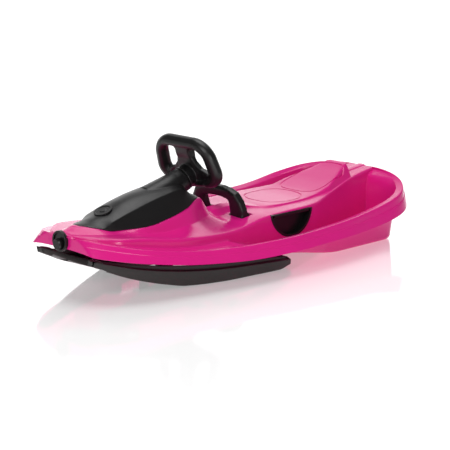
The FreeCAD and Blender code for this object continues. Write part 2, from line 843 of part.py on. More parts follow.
column = {"base": ("column_x", "0", "column_z"), "axis": Vector(0, 1, 0), "angle": "column_tilt - 90"}
turned(
    "steering_column",
    [("0", "column_foot"), ("column_radius", "column_foot"), ("column_radius", "column_top"), ("0", "column_top")],
    **column,
)
ring("upper_bush", "column_radius + run_gap", "upper_bush_radius", "upper_bush_top - upper_bush_long",
     "upper_bush_top", **column)
ring("lower_bush", "column_radius + run_gap", "lower_bush_radius", "lower_bush_at - lower_bush_long / 2",
     "lower_bush_at + lower_bush_long / 2", **column)
reach = size("pad_long") / 2
half = size("bridge_block_half")
low = size("bridge_block_low")
bridge = box((size("pad_x") - reach, size("pad_x") + reach), (-size("bridge_half"), size("bridge_half")),
             (size("pad_z"), size("pad_z") + size("bridge_thick")))
bridge = bridge.fuse(box((size("pad_x") - half, size("pad_x") + half), (-half, half),
                         (low, low + size("bridge_block_tall"))))
bush_seat = on_column(rod(size("lower_bush_radius") + size("press_gap"), (0, 0, size("fork_at")), (0, 0, 0)))
bridge = bridge.cut([bush_seat] + [rod(size("screw_hole"), spot, spot + Vector(0, 0, roof)) for spot in screw_spots])
keep("steering_bridge", bridge)

# Steering wheel in the column's own frame: X up the wheel, Y to the left, Z to the rider

half, corner = size("wheel_half"), size("wheel_corner")
top, bottom = size("wheel_top"), size("wheel_bottom")
bends = []
for quarter, (up, across) in enumerate(((top, half), (bottom, half), (bottom, -half), (top, -half))):
    centre = Vector(up - math.copysign(corner, up), across - math.copysign(corner, across), 0)
    bends.append(Part.makeCircle(corner, centre, Vector(0, 0, 1), 90 * quarter, 90 * quarter + 90))
links = [Part.makeLine(bends[k].Vertexes[1].Point, bends[(k + 1) % 4].Vertexes[0].Point) for k in range(4)]
loop = Part.Wire([piece for pair in zip(bends, links) for piece in pair])
start = bends[0].Vertexes[0].Point
section = []
for index in range(int(size("wheel_sides"))):
    turn = Rotation(Vector(0, 1, 0), 360 * (index + 0.5) / int(size("wheel_sides")))
    section.append(start + turn.multVec(Vector(size("wheel_bar"), 0, 0)))
rim = loop.makePipeShell([Part.makePolygon(section + section[:1])], True, True)
thick = size("spoke_thick")
root, waist = size("spoke_root"), size("spoke_waist")
spoke = plate([(0, -root), (top / 2, -waist), (top - corner / 2, -waist), (top, -root),
               (top, root), (top - corner / 2, waist), (top / 2, waist), (0, root)], thick)
disc = Part.makeCylinder(size("hub_disc"), thick / 2 + size("hub_face"))
wheel = rim.fuse([spoke.translated(Vector(0, 0, -thick / 2)), disc.translated(Vector(0, 0, -thick / 2))])
wheel.translate(Vector(0, 0, size("wheel_plane")))
seam, hub_long = size("wheel_seam"), size("wheel_plane") - size("wheel_seam")
wheel = wheel.fuse(Part.makeCone(size("hub_radius"), size("hub_waist"), hub_long, Vector(0, 0, seam)))
wheel = wheel.cut(rod(size("column_radius") + size("press_gap"), (0, 0, 0), (0, 0, size("column_top") + seam)))
keep("steering_wheel", wheel, column_at, to_column)
turned(
    "wheel_cap",
    [
        ("0", "wheel_plane + hub_face"),
        ("cap_radius", "wheel_plane + hub_face"),
        ("cap_radius", "wheel_plane + hub_face + cap_thick / 2"),
        ("cap_radius - cap_thick / 2", "wheel_plane + hub_face + cap_thick"),
        ("0", "wheel_plane + hub_face + cap_thick"),
    ],
    **column,
)

# Crank on the column's foot and the tie plate that carries its motion back to the skis

foot = size("column_foot")
arm = size("crank_arm")
half = size("crank_half")
crank = rod(size("crank_hub"), (0, 0, foot), (0, 0, foot + size("crank_hub_long")))
crank = crank.fuse([
    box((-arm, 0), (-half, half), (foot, foot + size("crank_thick"))),
    rod(half, (-arm, 0, foot), (-arm, 0, foot + size("crank_thick"))),
])
crank = crank.cut([
    rod(size("column_radius") + size("press_gap"), (0, 0, foot), (0, 0, 0)),
    rod(size("crank_pin_radius") + size("press_gap"), (-arm, 0, foot), (-arm, 0, 0)),
])
keep("steering_crank", crank, column_at, to_column)
turned(
    "crank_pin",
    [
        ("0", "column_foot + crank_thick - crank_pin_long"),
        ("crank_pin_radius", "column_foot + crank_thick - crank_pin_long"),
        ("crank_pin_radius", "column_foot + crank_thick"),
        ("crank_pin_head", "column_foot + crank_thick"),
        ("crank_pin_head", "column_foot + crank_thick + crank_pin_head_tall"),
        ("0", "column_foot + crank_thick + crank_pin_head_tall"),
    ],
    base=("column_x - crank_arm * sin(column_tilt)", "0", "column_z - crank_arm * cos(column_tilt)"),
    axis=Vector(0, 1, 0),
    angle="column_tilt - 90",
)

fork_at, fork_thick = size("fork_at"), size("fork_thick")
fork_z = (fork_at - fork_thick / 2, fork_at + fork_thick / 2)
slot = size("crank_pin_radius") + size("fork_play")
fork = box((size("fork_low"), size("fork_top")), (-size("fork_half"), size("fork_half")), fork_z)
fork_floor = -arm - size("crank_pin_radius") - 1.5 * size("fork_play")
fork = fork.cut(box((fork_floor, 0), (-slot, slot), fork_z))
fork = on_column(fork)
fork_x = (column_at + to_column.multVec(Vector(-arm, 0, fork_at))).x
tie_low, tie_top = size("tie_low"), size("tie_low") + size("tie_thick")
tie_half, reach = size("tie_half"), size("tie_reach")
rear_x = king_x - size("steer_arm")
tie = box((rear_x - tie_half, fork_x + tie_half), (-tie_half, tie_half), (tie_low, tie_top))
tie = tie.fuse([box((rear_x - tie_half, rear_x + tie_half), (-reach, reach), (tie_low, tie_top)), fork])
slot = size("steer_pin_radius") + size("tie_slot_play")
run = size("steer_pin_radius") + size("tie_slot_run")
for side in (1, -1):
    y = side * king_y
    tie = tie.cut(box((rear_x - slot, rear_x + run), (y - slot, y + slot), (tie_low - 1, tie_top + 1)))
keep("tie_plate", tie)

# Skis: open trays with a kingpin pedestal and a steering post

ski_inner = plan(SKI, "inner")
ski_outer = plan(SKI, "outer")
ski_low = plan(SKI, "low")
ski_top = plan(SKI, "top")
ski_stations = [size(f"{name}_x") for name in SKI]


def tray(x, side):
    # Section of the ski: outer line and inner line, with the wall on the inner side kept low
    inner, outer, low, top = ski_inner(x), ski_outer(x), ski_low(x), ski_top(x)
    cut, lift = size("ski_chamfer"), size("ski_wall")
    short = min(top, low + size("ski_inner_tall"))
    bend, bead = low + cut + lift / 4, cut + lift / 4
    outside = [(inner, short), (inner, low + cut), (inner + cut, low)]
    outside += [(outer - cut, low), (outer, low + cut), (outer, top)]
    hollow = [(outer - lift, top), (outer - lift, bend), (outer - bead, low + lift)]
    hollow += [(inner + bead, low + lift), (inner + lift, bend), (inner + lift, short)]
    return [[(side * y, z) for y, z in outside], [(side * y, z) for y, z in hollow]]


def ski(side):
    body = panelled([set_out(x, sum(tray(x, side), [])) for x in ski_stations])
    block = panelled([set_out(x, tray(x, side)[0]) for x in ski_stations])
    lift, sink = size("ski_wall"), size("ski_sink")
    tip, end = ski_stations[0], ski_stations[-1]
    parts = [flat(set_out(tip, tray(tip, side)[0])).extrude(Vector(-lift, 0, 0)),
             flat(set_out(end, tray(end, side)[0])).extrude(Vector(lift, 0, 0))]
    rib = size("ski_rib") / 2
    for x in (size("ski_heel_x"), 0.5 * (size("ski_heel_x") + size("ski_mid_x")), size("ski_rise_x"), size("ski_toe_x")):
        z_range = (ski_low(x), ski_top(x) - size("ski_rib_drop"))
        bar = box((x - rib, x + rib), (side * ski_inner(x), side * ski_outer(x)), z_range)
        parts.append(bar.common(block))
    y = side * king_y
    parts.append(rod(size("pedestal_radius"), (king_x, y, ski_low(king_x) + sink), (king_x, y, size("pedestal_z"))))
    post_top = tie_low - size("post_gap")
    parts.append(rod(size("post_radius"), (rear_x, y, ski_low(rear_x) + sink), (rear_x, y, post_top)))
    body = body.fuse(parts)
    bore = rod(size("kingpin_radius") + size("press_gap"), (king_x, y, size("kingpin_low")), (king_x, y, roof))
    deep = tie_top + size("post_gap") - size("steer_pin_deep")
    hole = rod(size("steer_pin_radius") + size("press_gap"), (rear_x, y, deep), (rear_x, y, roof))
    return body.cut([bore, hole])


for side, name in ((1, "left"), (-1, "right")):
    keep(f"ski_{name}", ski(side))
    y = f"{side} * kingpin_y"
    spot = {"base": ("kingpin_x", y, "0")}
    ring(f"thrust_washer_{name}", "kingpin_radius + run_gap", "washer_radius", "pedestal_z",
         "pedestal_z + washer_thick", **spot)
    turned(
        f"kingpin_{name}",
        [("0", "kingpin_low"), ("kingpin_radius", "kingpin_low"), ("kingpin_radius", "kingpin_top"),
         ("0", "kingpin_top")],
        **spot,
    )
    ring(f"kingpin_nut_{name}", "kingpin_radius + press_gap", "nut_radius", "boss_tube_top + nut_gap",
         "boss_tube_top + nut_gap + nut_tall", **spot)
    turned(
        f"steering_pin_{name}",
        [
            ("0", "tie_low + tie_thick + post_gap - steer_pin_deep"),
            ("steer_pin_radius", "tie_low + tie_thick + post_gap - steer_pin_deep"),
            ("steer_pin_radius", "tie_low + tie_thick + post_gap"),
            ("steer_pin_head", "tie_low + tie_thick + post_gap"),
            ("steer_pin_head", "tie_low + tie_thick + post_gap + steer_pin_head_tall"),
            ("0", "tie_low + tie_thick + post_gap + steer_pin_head_tall"),
        ],
        base=("kingpin_x - steer_arm", y, "0"),
    )

# Brake: arch lever on two barrels, shaft, bushes, claw and return coil

half, corner, tall = size("arch_half"), size("arch_corner"), size("arch_tall")
left = Part.makeCircle(corner, Vector(0, half - corner, tall - corner), Vector(1, 0, 0), 0, 90)
right = Part.makeCircle(corner, Vector(0, corner - half, tall - corner), Vector(1, 0, 0), 90, 180)
path = Part.Wire([
    Part.makeLine(Vector(0, half, 0), left.Vertexes[0].Point),
    left,
    Part.makeLine(left.Vertexes[1].Point, right.Vertexes[0].Point),
    right,
    Part.makeLine(right.Vertexes[1].Point, Vector(0, -half, 0)),
])
deep, wide, cut = size("arch_bar_deep"), size("arch_bar_half"), size("arch_bar_chamfer")


def bar_section(x_half, y_half, chamfer, centre):
    # Chamfered rectangle about a centre, in the XY plane
    corners = [(x_half, y_half - chamfer), (x_half - chamfer, y_half)]
    corners += [(-x, y) for x, y in reversed(corners)]
    corners += [(-x, -y) for x, y in corners]
    points = [centre + Vector(x, y, 0) for x, y in corners]
    return Part.makePolygon(points + points[:1])


arch = path.makePipeShell([bar_section(deep, wide, cut, Vector(0, half, 0))], True, False)
arch.rotate(Vector(), Vector(0, 1, 0), size("arch_lean"))
lever = [arch]
flare = size("leg_flare")
lean_x = flare * math.tan(math.radians(size("arch_lean")))
for side in (1, -1):
    inner, outer = size("barrel_inner"), size("barrel_outer")
    radius = size("barrel_radius")
    lever.append(rod(radius, (0, side * inner, 0), (0, side * outer, 0)))
    leg_foot = Vector(0, side * (inner + outer) / 2, size("leg_low"))
    leg_foot = bar_section(radius - size("leg_inset"), (outer - inner) / 2, cut, leg_foot)
    leg_top = bar_section(deep, wide, cut, Vector(lean_x, side * half, flare))
    lever.append(Part.makeLoft([leg_foot, leg_top], True, True))
lever = lever[0].fuse(lever[1:])
lever = lever.cut(rod(size("shaft_radius") + size("press_gap"), (0, -half * 3, 0), (0, half * 3, 0)))
keep("brake_lever", lever, brake)
across = {"base": ("brake_x", "0", "brake_z"), "axis": Vector(1, 0, 0), "angle": "90"}
turned(
    "brake_shaft",
    [("0", "-1 * shaft_half"), ("shaft_radius", "-1 * shaft_half"), ("shaft_radius", "shaft_half"), ("0", "shaft_half")],
    **across,
)
for side, name in ((1, "left"), (-1, "right")):
    ring(f"brake_bush_{name}", "shaft_radius + run_gap", "brake_bush_radius", f"{-side} * rib_y - brake_bush_half",
         f"{-side} * rib_y + brake_bush_half", **across)
ring("brake_return_coil", "coil_inner", "coil_radius", "coil_start", "coil_start + coil_long", **across)
long, half, deep = size("claw_long"), size("claw_half"), size("claw_deep") / 2
blade, thick = size("claw_blade_half"), size("claw_blade_thick") / 2
blade_top = -long + size("claw_blade_long")
claw = rod(size("claw_hub"), (0, -half - 2, 0), (0, half + 2, 0))
claw = claw.fuse([
    box((-deep, deep), (-half, half), (blade_top, 0)),
    box((-thick, thick), (-blade, blade), (blade_top - 4, blade_top + size("claw_blade_long") / 2)),
])
teeth = int(size("claw_teeth"))
pitch = 2 * blade / teeth
for index in range(teeth):
    y = -blade + pitch * (index + 0.5)
    tooth = Part.makePolygon([Vector(-thick, y - pitch / 2, blade_top), Vector(-thick, y + pitch / 2, blade_top),
                              Vector(-thick, y, -long), Vector(-thick, y - pitch / 2, blade_top)])
    claw = claw.fuse(Part.Face(tooth).extrude(Vector(2 * thick, 0, 0)))
claw = claw.cut(rod(size("shaft_radius") + size("press_gap"), (0, -2 * blade, 0), (0, 2 * blade, 0)))
keep("brake_claw", claw, brake, Rotation(Vector(0, 1, 0), size("claw_rest")))

# Tow gear: nose socket, pull knob and self-winding reel

face_x = size("nose_face_x") + size("socket_gap")
thick, rim_tall = size("socket_thick"), size("socket_rim_tall")
socket_z = size("socket_z")
socket = rod(size("socket_radius"), (face_x, 0, socket_z), (face_x + thick + rim_tall, 0, socket_z))
socket = socket.cut(rod(size("socket_rim"), (face_x + thick, 0, socket_z), (nose + rim_tall * 4, 0, socket_z)))
socket = socket.fuse(rod(size("tube_radius"), (size("tube_rear_x"), 0, tow_z), (face_x + thick, 0, tow_z)))
socket = socket.cut(rod(size("tube_bore"), (size("tube_rear_x"), 0, tow_z), (nose + rim_tall, 0, tow_z)))
keep("nose_socket", socket)
turned(
    "tow_knob",
    [
        ("0", "knob_back_x"),
        ("knob_radius - knob_round", "knob_back_x"),
        ("knob_radius", "knob_back_x + knob_round"),
        ("knob_radius", "knob_front_x - knob_round"),
        ("knob_radius - knob_round", "knob_front_x"),
        ("0", "knob_front_x"),
    ],
    base=("0", "0", "knob_z"),
    axis=Vector(0, 1, 0),
    angle="90",
)
turned(
    "tow_rope",
    [("0", "rope_rear_x"), ("rope_radius", "rope_rear_x"), ("rope_radius", "rope_front_x"), ("0", "rope_front_x")],
    base=("0", "0", "tow_z"),
    axis=Vector(0, 1, 0),
    angle="90",
)

radius, thick = size("reel_radius"), size("reel_wall")
tall = size("reel_tall")
housing = Part.makeCylinder(radius, tall - thick, Vector(0, 0, thick))
housing = housing.cut(Part.makeCylinder(radius - thick, tall - 2 * thick, Vector(0, 0, thick)))
housing = housing.fuse(Part.makeCylinder(size("axle_radius"), tall - 2 * thick, Vector(0, 0, thick)))
ear_thick = size("ear_thick")
for ear in ears:
    spot = ear - reel
    run = Vector(spot.x, spot.y, 0)
    tab = rod(size("ear_radius"), (spot.x, spot.y, tall - ear_thick), (spot.x, spot.y, tall))
    tab = tab.fuse(box((0, run.Length), (-size("ear_radius"), size("ear_radius")), (tall - ear_thick, tall)).rotated(
        Vector(), Vector(0, 0, 1), math.degrees(math.atan2(spot.y, spot.x))))
    housing = housing.fuse(tab.cut(Part.makeCylinder(radius - thick, tall)))
    housing = housing.cut(rod(size("screw_hole"), (spot.x, spot.y, 0), (spot.x, spot.y, tall)))
rope_line = Vector(0, -reel.y, tow_z - reel.z)
housing = housing.cut(rod(2 * size("rope_radius"), rope_line, rope_line + Vector(2 * radius, 0, 0)))
keep("reel_housing", housing, reel)
at_reel = {"base": ("reel_x", "reel_y", "reel_low")}
turned("reel_lid", [("0", "0"), ("reel_radius", "0"), ("reel_radius", "reel_wall"), ("0", "reel_wall")], **at_reel)
inner, outer = "axle_radius + run_gap", "reel_radius - reel_wall - reel_gap"
turned(
    "reel_spool",
    [
        (inner, "reel_wall + reel_gap"),
        (outer, "reel_wall + reel_gap"),
        (outer, "reel_wall + reel_gap + spool_flange"),
        ("drum_radius", "reel_wall + reel_gap + spool_flange"),
        ("drum_radius", "reel_tall - reel_wall - reel_gap - spool_flange"),
        (outer, "reel_tall - reel_wall - reel_gap - spool_flange"),
        (outer, "reel_tall - reel_wall - reel_gap"),
        ("drum_radius - drum_wall", "reel_tall - reel_wall - reel_gap"),
        ("drum_radius - drum_wall", "reel_wall + reel_gap + spool_flange"),
        (inner, "reel_wall + reel_gap + spool_flange"),
    ],
    **at_reel,
)
ring("wound_rope", "drum_radius + press_gap", "drum_radius + rope_layer",
     "reel_wall + reel_gap + spool_flange + rope_side_gap",
     "reel_tall - reel_wall - reel_gap - spool_flange - rope_side_gap", **at_reel)
ring("reel_spring", "axle_radius + press_gap", "drum_radius - drum_wall - reel_gap",
     "reel_wall + reel_gap + 2 * spool_flange", "reel_tall - reel_wall - reel_gap", **at_reel)
screws = []
for ear in ears:
    under = reel_top - ear_thick
    head = rod(size("screw_head"), (ear.x, ear.y, under - size("screw_head_tall")), (ear.x, ear.y, under))
    end = reel_top + size("stud_deep") - size("screw_end_gap")
    screws.append(head.fuse(rod(size("screw_radius"), (ear.x, ear.y, under), (ear.x, ear.y, end))))
keep("reel_screws", Part.makeCompound(screws))

doc.recompute()

# Checks and export

pieces = [item for item in doc.Objects if item.isDerivedFrom("Part::Feature") and not item.getParentGeoFeatureGroup()]
pieces = [item for item in pieces if item.TypeId in ("PartDesign::Body", "Part::Feature")]
for item in doc.Objects:
    if "Invalid" in item.State or "Error" in item.State:
        raise RuntimeError(f"{item.Label} did not compute")
os.makedirs("parts", exist_ok=True)
for item in pieces:
    if item.Shape.isNull() or not item.Shape.isValid():
        raise RuntimeError(f"{item.Label} is not a sound shape")
    item.Shape.exportStep(f"parts/{item.Label}.step")
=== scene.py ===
import bmesh
import bpy
import json
import math
from mathutils import Matrix, Vector


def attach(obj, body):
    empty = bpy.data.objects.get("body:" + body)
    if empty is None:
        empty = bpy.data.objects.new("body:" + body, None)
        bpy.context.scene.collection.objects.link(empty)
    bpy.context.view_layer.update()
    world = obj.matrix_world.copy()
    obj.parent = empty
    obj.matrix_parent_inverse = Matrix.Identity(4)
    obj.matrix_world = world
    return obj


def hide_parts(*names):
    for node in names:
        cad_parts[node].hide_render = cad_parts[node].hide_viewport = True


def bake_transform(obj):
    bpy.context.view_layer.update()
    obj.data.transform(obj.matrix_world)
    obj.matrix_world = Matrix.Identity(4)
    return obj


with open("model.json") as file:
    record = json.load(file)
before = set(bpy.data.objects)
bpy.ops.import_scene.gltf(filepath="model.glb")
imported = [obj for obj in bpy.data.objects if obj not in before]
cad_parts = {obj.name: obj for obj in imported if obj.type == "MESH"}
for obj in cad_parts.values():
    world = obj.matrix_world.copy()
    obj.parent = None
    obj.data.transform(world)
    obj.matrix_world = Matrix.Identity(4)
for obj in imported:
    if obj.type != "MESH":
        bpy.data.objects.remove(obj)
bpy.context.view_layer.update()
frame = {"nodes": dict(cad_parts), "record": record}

MM = 0.001

# Lines plan of the hull in millimetres: station, rim half width, rim height, deck half width, deck height
LINES = {
    "prow": (590.0, 166.0, 162.0, 140.0, 164.0),
    "bow": (456.0, 201.0, 134.0, 148.0, 155.0),
    "shin": (300.0, 236.0, 112.0, 178.0, 136.0),
    "knee": (105.0, 268.0, 101.0, 159.0, 121.0),
    "lap": (-38.0, 281.0, 103.5, 147.0, 138.0),
    "hip": (-160.0, 280.0, 109.0, 147.0, 143.0),
    "thigh": (-225.0, 277.0, 112.5, 141.0, 144.0),
    "quarter": (-335.0, 264.0, 120.0, 106.0, 154.0),
    "stern": (-490.0, 255.0, 147.0, 63.0, 176.0),
    "tail": (-609.0, 250.0, 190.0, 48.0, 190.0),
}
# Console pod: station, foot half width, top half width, top height
POD = {
    "tip": (572.0, 20.0, 6.0, 168.0),
    "chin": (541.0, 46.0, 18.0, 180.0),
    "brow": (500.0, 68.0, 46.0, 172.0),
    "cheek": (456.0, 84.0, 64.0, 161.0),
    "flank": (350.0, 100.0, 90.0, 163.0),
    "back": (280.0, 100.0, 86.0, 172.0),
    "neck": (200.0, 92.0, 69.0, 184.0),
    "tail": (124.0, 60.0, 36.0, 199.0),
    "end": (64.0, 34.0, 20.0, 199.0),
}
# Console cover: station, crest half width, crest height, top height
COVER = {
    "tip": (534.0, 11.0, 181.0, 182.0),
    "chin": (505.0, 42.0, 174.5, 185.0),
    "brow": (485.0, 52.0, 170.0, 190.0),
    "cheek": (453.0, 57.0, 186.0, 199.5),
    "lens": (423.0, 58.0, 195.5, 211.0),
    "flank": (390.0, 59.0, 204.5, 224.0),
    "rise": (335.0, 58.0, 217.5, 238.0),
    "crown": (270.0, 56.0, 229.5, 247.0),
    "peak": (205.0, 52.0, 237.0, 251.0),
    "fall": (150.0, 38.0, 210.0, 215.0),
    "end": (124.0, 24.0, 203.0, 205.0),
}
# Seat platform: station, half width, height
SEAT = {
    "front": (-62.0, 38.0, 142.0),
    "edge": (-104.0, 82.0, 147.0),
    "wide": (-160.0, 96.0, 148.5),
    "mid": (-225.0, 98.0, 150.0),
    "fold": (-290.0, 97.0, 156.0),
    "rise": (-350.0, 96.0, 170.0),
    "back": (-405.0, 91.0, 187.5),
    "brow": (-446.0, 83.0, 201.5),
    "nape": (-470.0, 70.0, 210.5),
    "top": (-486.0, 52.0, 216.0),
    "end": (-498.0, 34.0, 219.0),
    "foot": (-508.0, 16.0, 219.5),
}
# Ski: station, inner edge, outer edge, bottom height, height of the side face, height of the inset wall
SKI = {
    "tip": (574.0, 90.0, 116.0, 94.0, 108.0, 110.0),
    "prow": (562.0, 86.0, 118.0, 89.0, 105.0, 107.0),
    "scoop": (540.0, 82.0, 121.0, 79.0, 98.0, 101.0),
    "toe": (500.0, 78.0, 127.0, 60.0, 86.0, 91.0),
    "rise": (430.0, 68.0, 140.0, 35.0, 67.0, 76.0),
    "curve": (353.0, 60.0, 156.0, 14.0, 52.0, 64.0),
    "start": (290.0, 62.0, 170.0, 2.0, 43.0, 56.0),
    "mid": (228.0, 68.0, 187.0, 0.0, 38.0, 51.0),
    "waist": (162.0, 76.0, 202.0, 0.0, 35.0, 47.0),
    "heel": (83.0, 86.0, 209.0, 0.0, 31.0, 42.0),
    "run": (-13.0, 95.0, 217.0, 0.0, 27.0, 35.0),
    "end": (-60.0, 102.0, 213.0, 7.0, 23.0, 28.0),
}
# Height of the trench floor and of the saddle's crown along the sled
RUNNER = ((141.0, 90.0), (-110.0, 30.0), (-300.0, 0.0), (-500.0, 0.0))
SADDLE = ((590.0, 6.0), (456.0, 6.0), (105.0, 36.0), (20.0, 28.0), (-120.0, 4.0), (-490.0, 4.0))
HULL_WALL = 3.6
NOSE_X, NOSE_ROUND_X, NOSE_FACE_X = 588.0, 456.0, 583.5
NOSE_TAPER, NOSE_TAPER_X, NOSE_TAPER_END_X = 0.11, 430.0, 560.0
NOSE_RIDGE, NOSE_RIDGE_X, NOSE_RIDGE_TOP_X, NOSE_RIDGE_FALL_X = 5.0, 520.0, 560.0, 575.0
NOSE_LEAST_HALF = 20.0
TAIL_X, TAIL_ROUND_X = -594.0, -400.0
RIM_FLAT, RIM_SHARE = 28.0, 0.6
RIM_RISE, RIM_RISE_X, RIM_RISE_END_X = 6.0, 320.0, 60.0
LIP_DEPTH, LIP_DEPTH_TAIL, LIP_DEEPEN_X = 34.0, 50.0, -38.0
LIP_FLARE, LIP_FLARE_NOSE = 12.0, 24.0
# Step in the lip: shares of the flare and depth above it, its width and drop
LIP_STEP_OUT, LIP_STEP_DOWN, LIP_STEP_WIDE, LIP_STEP_DROP = 0.33, 0.36, 2.2, 1.5
SHOULDER_GAP, SHOULDER_EASE, SHOULDER_LEAST, SHOULDER_SHARE = 8.0, 22.0, 20.0, 0.45
WALL_LEAN, FLOOR_LEAST, FLOOR_END = 0.07, 2.0, 3.0
TRENCH_FRONT_X, TRENCH_FOOT_X, TRENCH_REAR_X, TRENCH_END_X = 141.0, 129.0, -486.0, -548.0
TRENCH_RAMP_X, TRENCH_RAMP_END_X = TRENCH_END_X + 16, TRENCH_END_X - 12
TRENCH_HALF, TRENCH_DEEP, TRENCH_ROUND = 188.0, 100.0, 2.4
SEAT_FRONT_X, SEAT_EDGE_X, SEAT_TOP_X, SEAT_FOOT_X = -62.0, -104.0, -482.0, -512.0
SEAT_MARGIN, SEAT_EDGE_LEAST, SEAT_SLOPE = 5.0, 5.0, 0.55
POD_MARGIN, FOOT_SHARE, TOP_SHARE = 12.0, 0.7, 0.3
# Shares of the saddle's crown at the foot, at the foot beside the pod and at the edge
SADDLE_FOOT, SADDLE_FOOT_MORE, SADDLE_EDGE = 0.25, 0.4, 0.75
BESIDE_POD_X, BESIDE_POD_FULL_X, BESIDE_POD_FALL_X, BESIDE_POD_END_X = 46.0, 96.0, 200.0, 320.0


def curve(points):
    # Smooth line through the points that never overshoots them
    knots = sorted(points)
    spans = [b[0] - a[0] for a, b in zip(knots, knots[1:])]
    rises = [(b[1] - a[1]) / span for a, b, span in zip(knots, knots[1:], spans)]
    slopes = [rises[0]]
    for left, right, before, after in zip(rises, rises[1:], spans, spans[1:]):
        if left * right <= 0:
            slopes.append(0.0)
        else:
            early, late = 2 * after + before, after + 2 * before
            slopes.append((early + late) / (early / left + late / right))
    slopes.append(rises[-1])

    def at(x):
        x = min(max(x, knots[0][0]), knots[-1][0])
        index = max([k for k in range(len(spans)) if knots[k][0] <= x], default=0)
        index = min(index, len(spans) - 1)
        u = (x - knots[index][0]) / spans[index]
        start, end = knots[index][1], knots[index + 1][1]
        lean = u * (1 - u) ** 2 * slopes[index] + u * u * (u - 1) * slopes[index + 1]
        return (1 + 2 * u) * (1 - u) ** 2 * start + u * u * (3 - 2 * u) * end + spans[index] * lean

    return at


def step(x, start, end):
    # Eased change from 0 at the start to 1 at the end
    u = min(1.0, max(0.0, (x - start) / (end - start)))
    return u * u * (3 - 2 * u)


def soft_min(first, second, reach):
    # The smaller value, with an eased change over within the reach
    near = max(0.0, 1 - abs(first - second) / reach)
    return min(first, second) - near * near * reach / 4


def plan(table, column):
    # One column of a table as a line along the sled
    return curve([(row[0], row[column]) for row in table.values()])


rim_half, rim_z, deck_half, deck_z = (plan(LINES, column) for column in (1, 2, 3, 4))
pod_foot, pod_half, pod_z = (plan(POD, column) for column in (1, 2, 3))
cover_half, cover_crest_z, cover_top = (plan(COVER, column) for column in (1, 2, 3))
ski_inner, ski_outer, ski_low, ski_side, ski_top = (plan(SKI, column) for column in (1, 2, 3, 4, 5))
seat_half, seat_z = plan(SEAT, 1), plan(SEAT, 2)
runner_z, saddle = curve(RUNNER), curve(SADDLE)


def crest(x):
    # Half width of the rim's outer edge, rounded in plan at the nose and the tail
    nose = min(1.0, max(0.0, (x - NOSE_ROUND_X) / (NOSE_X - NOSE_ROUND_X)))
    tail = min(1.0, max(0.0, (x - TAIL_ROUND_X) / (TAIL_X - TAIL_ROUND_X)))
    drawn_in = 1 - NOSE_TAPER * step(x, NOSE_TAPER_X, NOSE_TAPER_END_X)
    return rim_half(x) * (1 - nose ** 2) ** (1 / 3) * (1 - tail ** 3) ** (2 / 5) * drawn_in


def trench(x, half, inner, shoulder):
    # Foot of the trench's inner wall, foot of its outer wall and height of its floor
    rim = rim_z(x)
    floor_z = runner_z(x) + HULL_WALL
    floor_z += (rim - floor_z) * step(x, TRENCH_RAMP_X, TRENCH_RAMP_END_X)
    floor_z = min(rim - 1, rim + (floor_z - rim) * step(x, TRENCH_FRONT_X, TRENCH_FOOT_X))
    wall_foot = shoulder
    if half > NOSE_LEAST_HALF:
        wall_foot = min(shoulder + WALL_LEAN * (deck_z(x) - floor_z), inner - FLOOR_LEAST)
    wall_out = inner - (inner - TRENCH_HALF) * min(1.0, (rim - floor_z) / TRENCH_DEEP)
    # The trench narrows to a rounded end before its floor rises
    round_in = min(1.0, max(0.0, (x - TRENCH_REAR_X) / (TRENCH_END_X - TRENCH_REAR_X)))
    narrow = (1 - round_in ** TRENCH_ROUND) ** (1 / TRENCH_ROUND)
    wall_out = wall_out * narrow + (wall_foot + FLOOR_END) * (1 - narrow)
    return wall_foot, min(max(wall_out, wall_foot + FLOOR_LEAST), inner), floor_z


def platform(x, shoulder):
    # Foot and top of the pod or the seat: half width and height of each, and height on the centre line
    deck, crown, on_seat = deck_z(x), saddle(x), x <= SEAT_FRONT_X
    pod = step(x, POD["end"][0], POD["tail"][0])
    seat = step(x, SEAT_FRONT_X, SEAT_EDGE_X) * (1 - step(x, SEAT_TOP_X, SEAT_FOOT_X))
    margin = SEAT_MARGIN if on_seat else POD_MARGIN
    foot = seat_half(x) if on_seat else pod_foot(x)
    foot = min(foot, max(shoulder - margin, FOOT_SHARE * shoulder))
    beside_pod = step(x, BESIDE_POD_X, BESIDE_POD_FULL_X) * step(x, BESIDE_POD_END_X, BESIDE_POD_FALL_X)
    foot_z = deck + (SADDLE_FOOT + SADDLE_FOOT_MORE * beside_pod) * crown
    pod_edge, seat_edge = foot_z + (pod_z(x) - foot_z) * pod, foot_z + (seat_z(x) - foot_z) * seat
    edge_z = max(deck + SADDLE_EDGE * crown, pod_edge, seat_edge)
    top = foot - max(SEAT_EDGE_LEAST, SEAT_SLOPE * (edge_z - foot_z)) if on_seat else pod_half(x)
    top = min(max(top, TOP_SHARE * foot), foot - 2) if foot > 4 else 0.5 * foot
    ridge = NOSE_RIDGE * step(x, NOSE_RIDGE_X, NOSE_RIDGE_TOP_X) * step(x, NOSE_X, NOSE_RIDGE_FALL_X)
    return foot, foot_z, top, edge_z, max(deck + crown, edge_z) + ridge


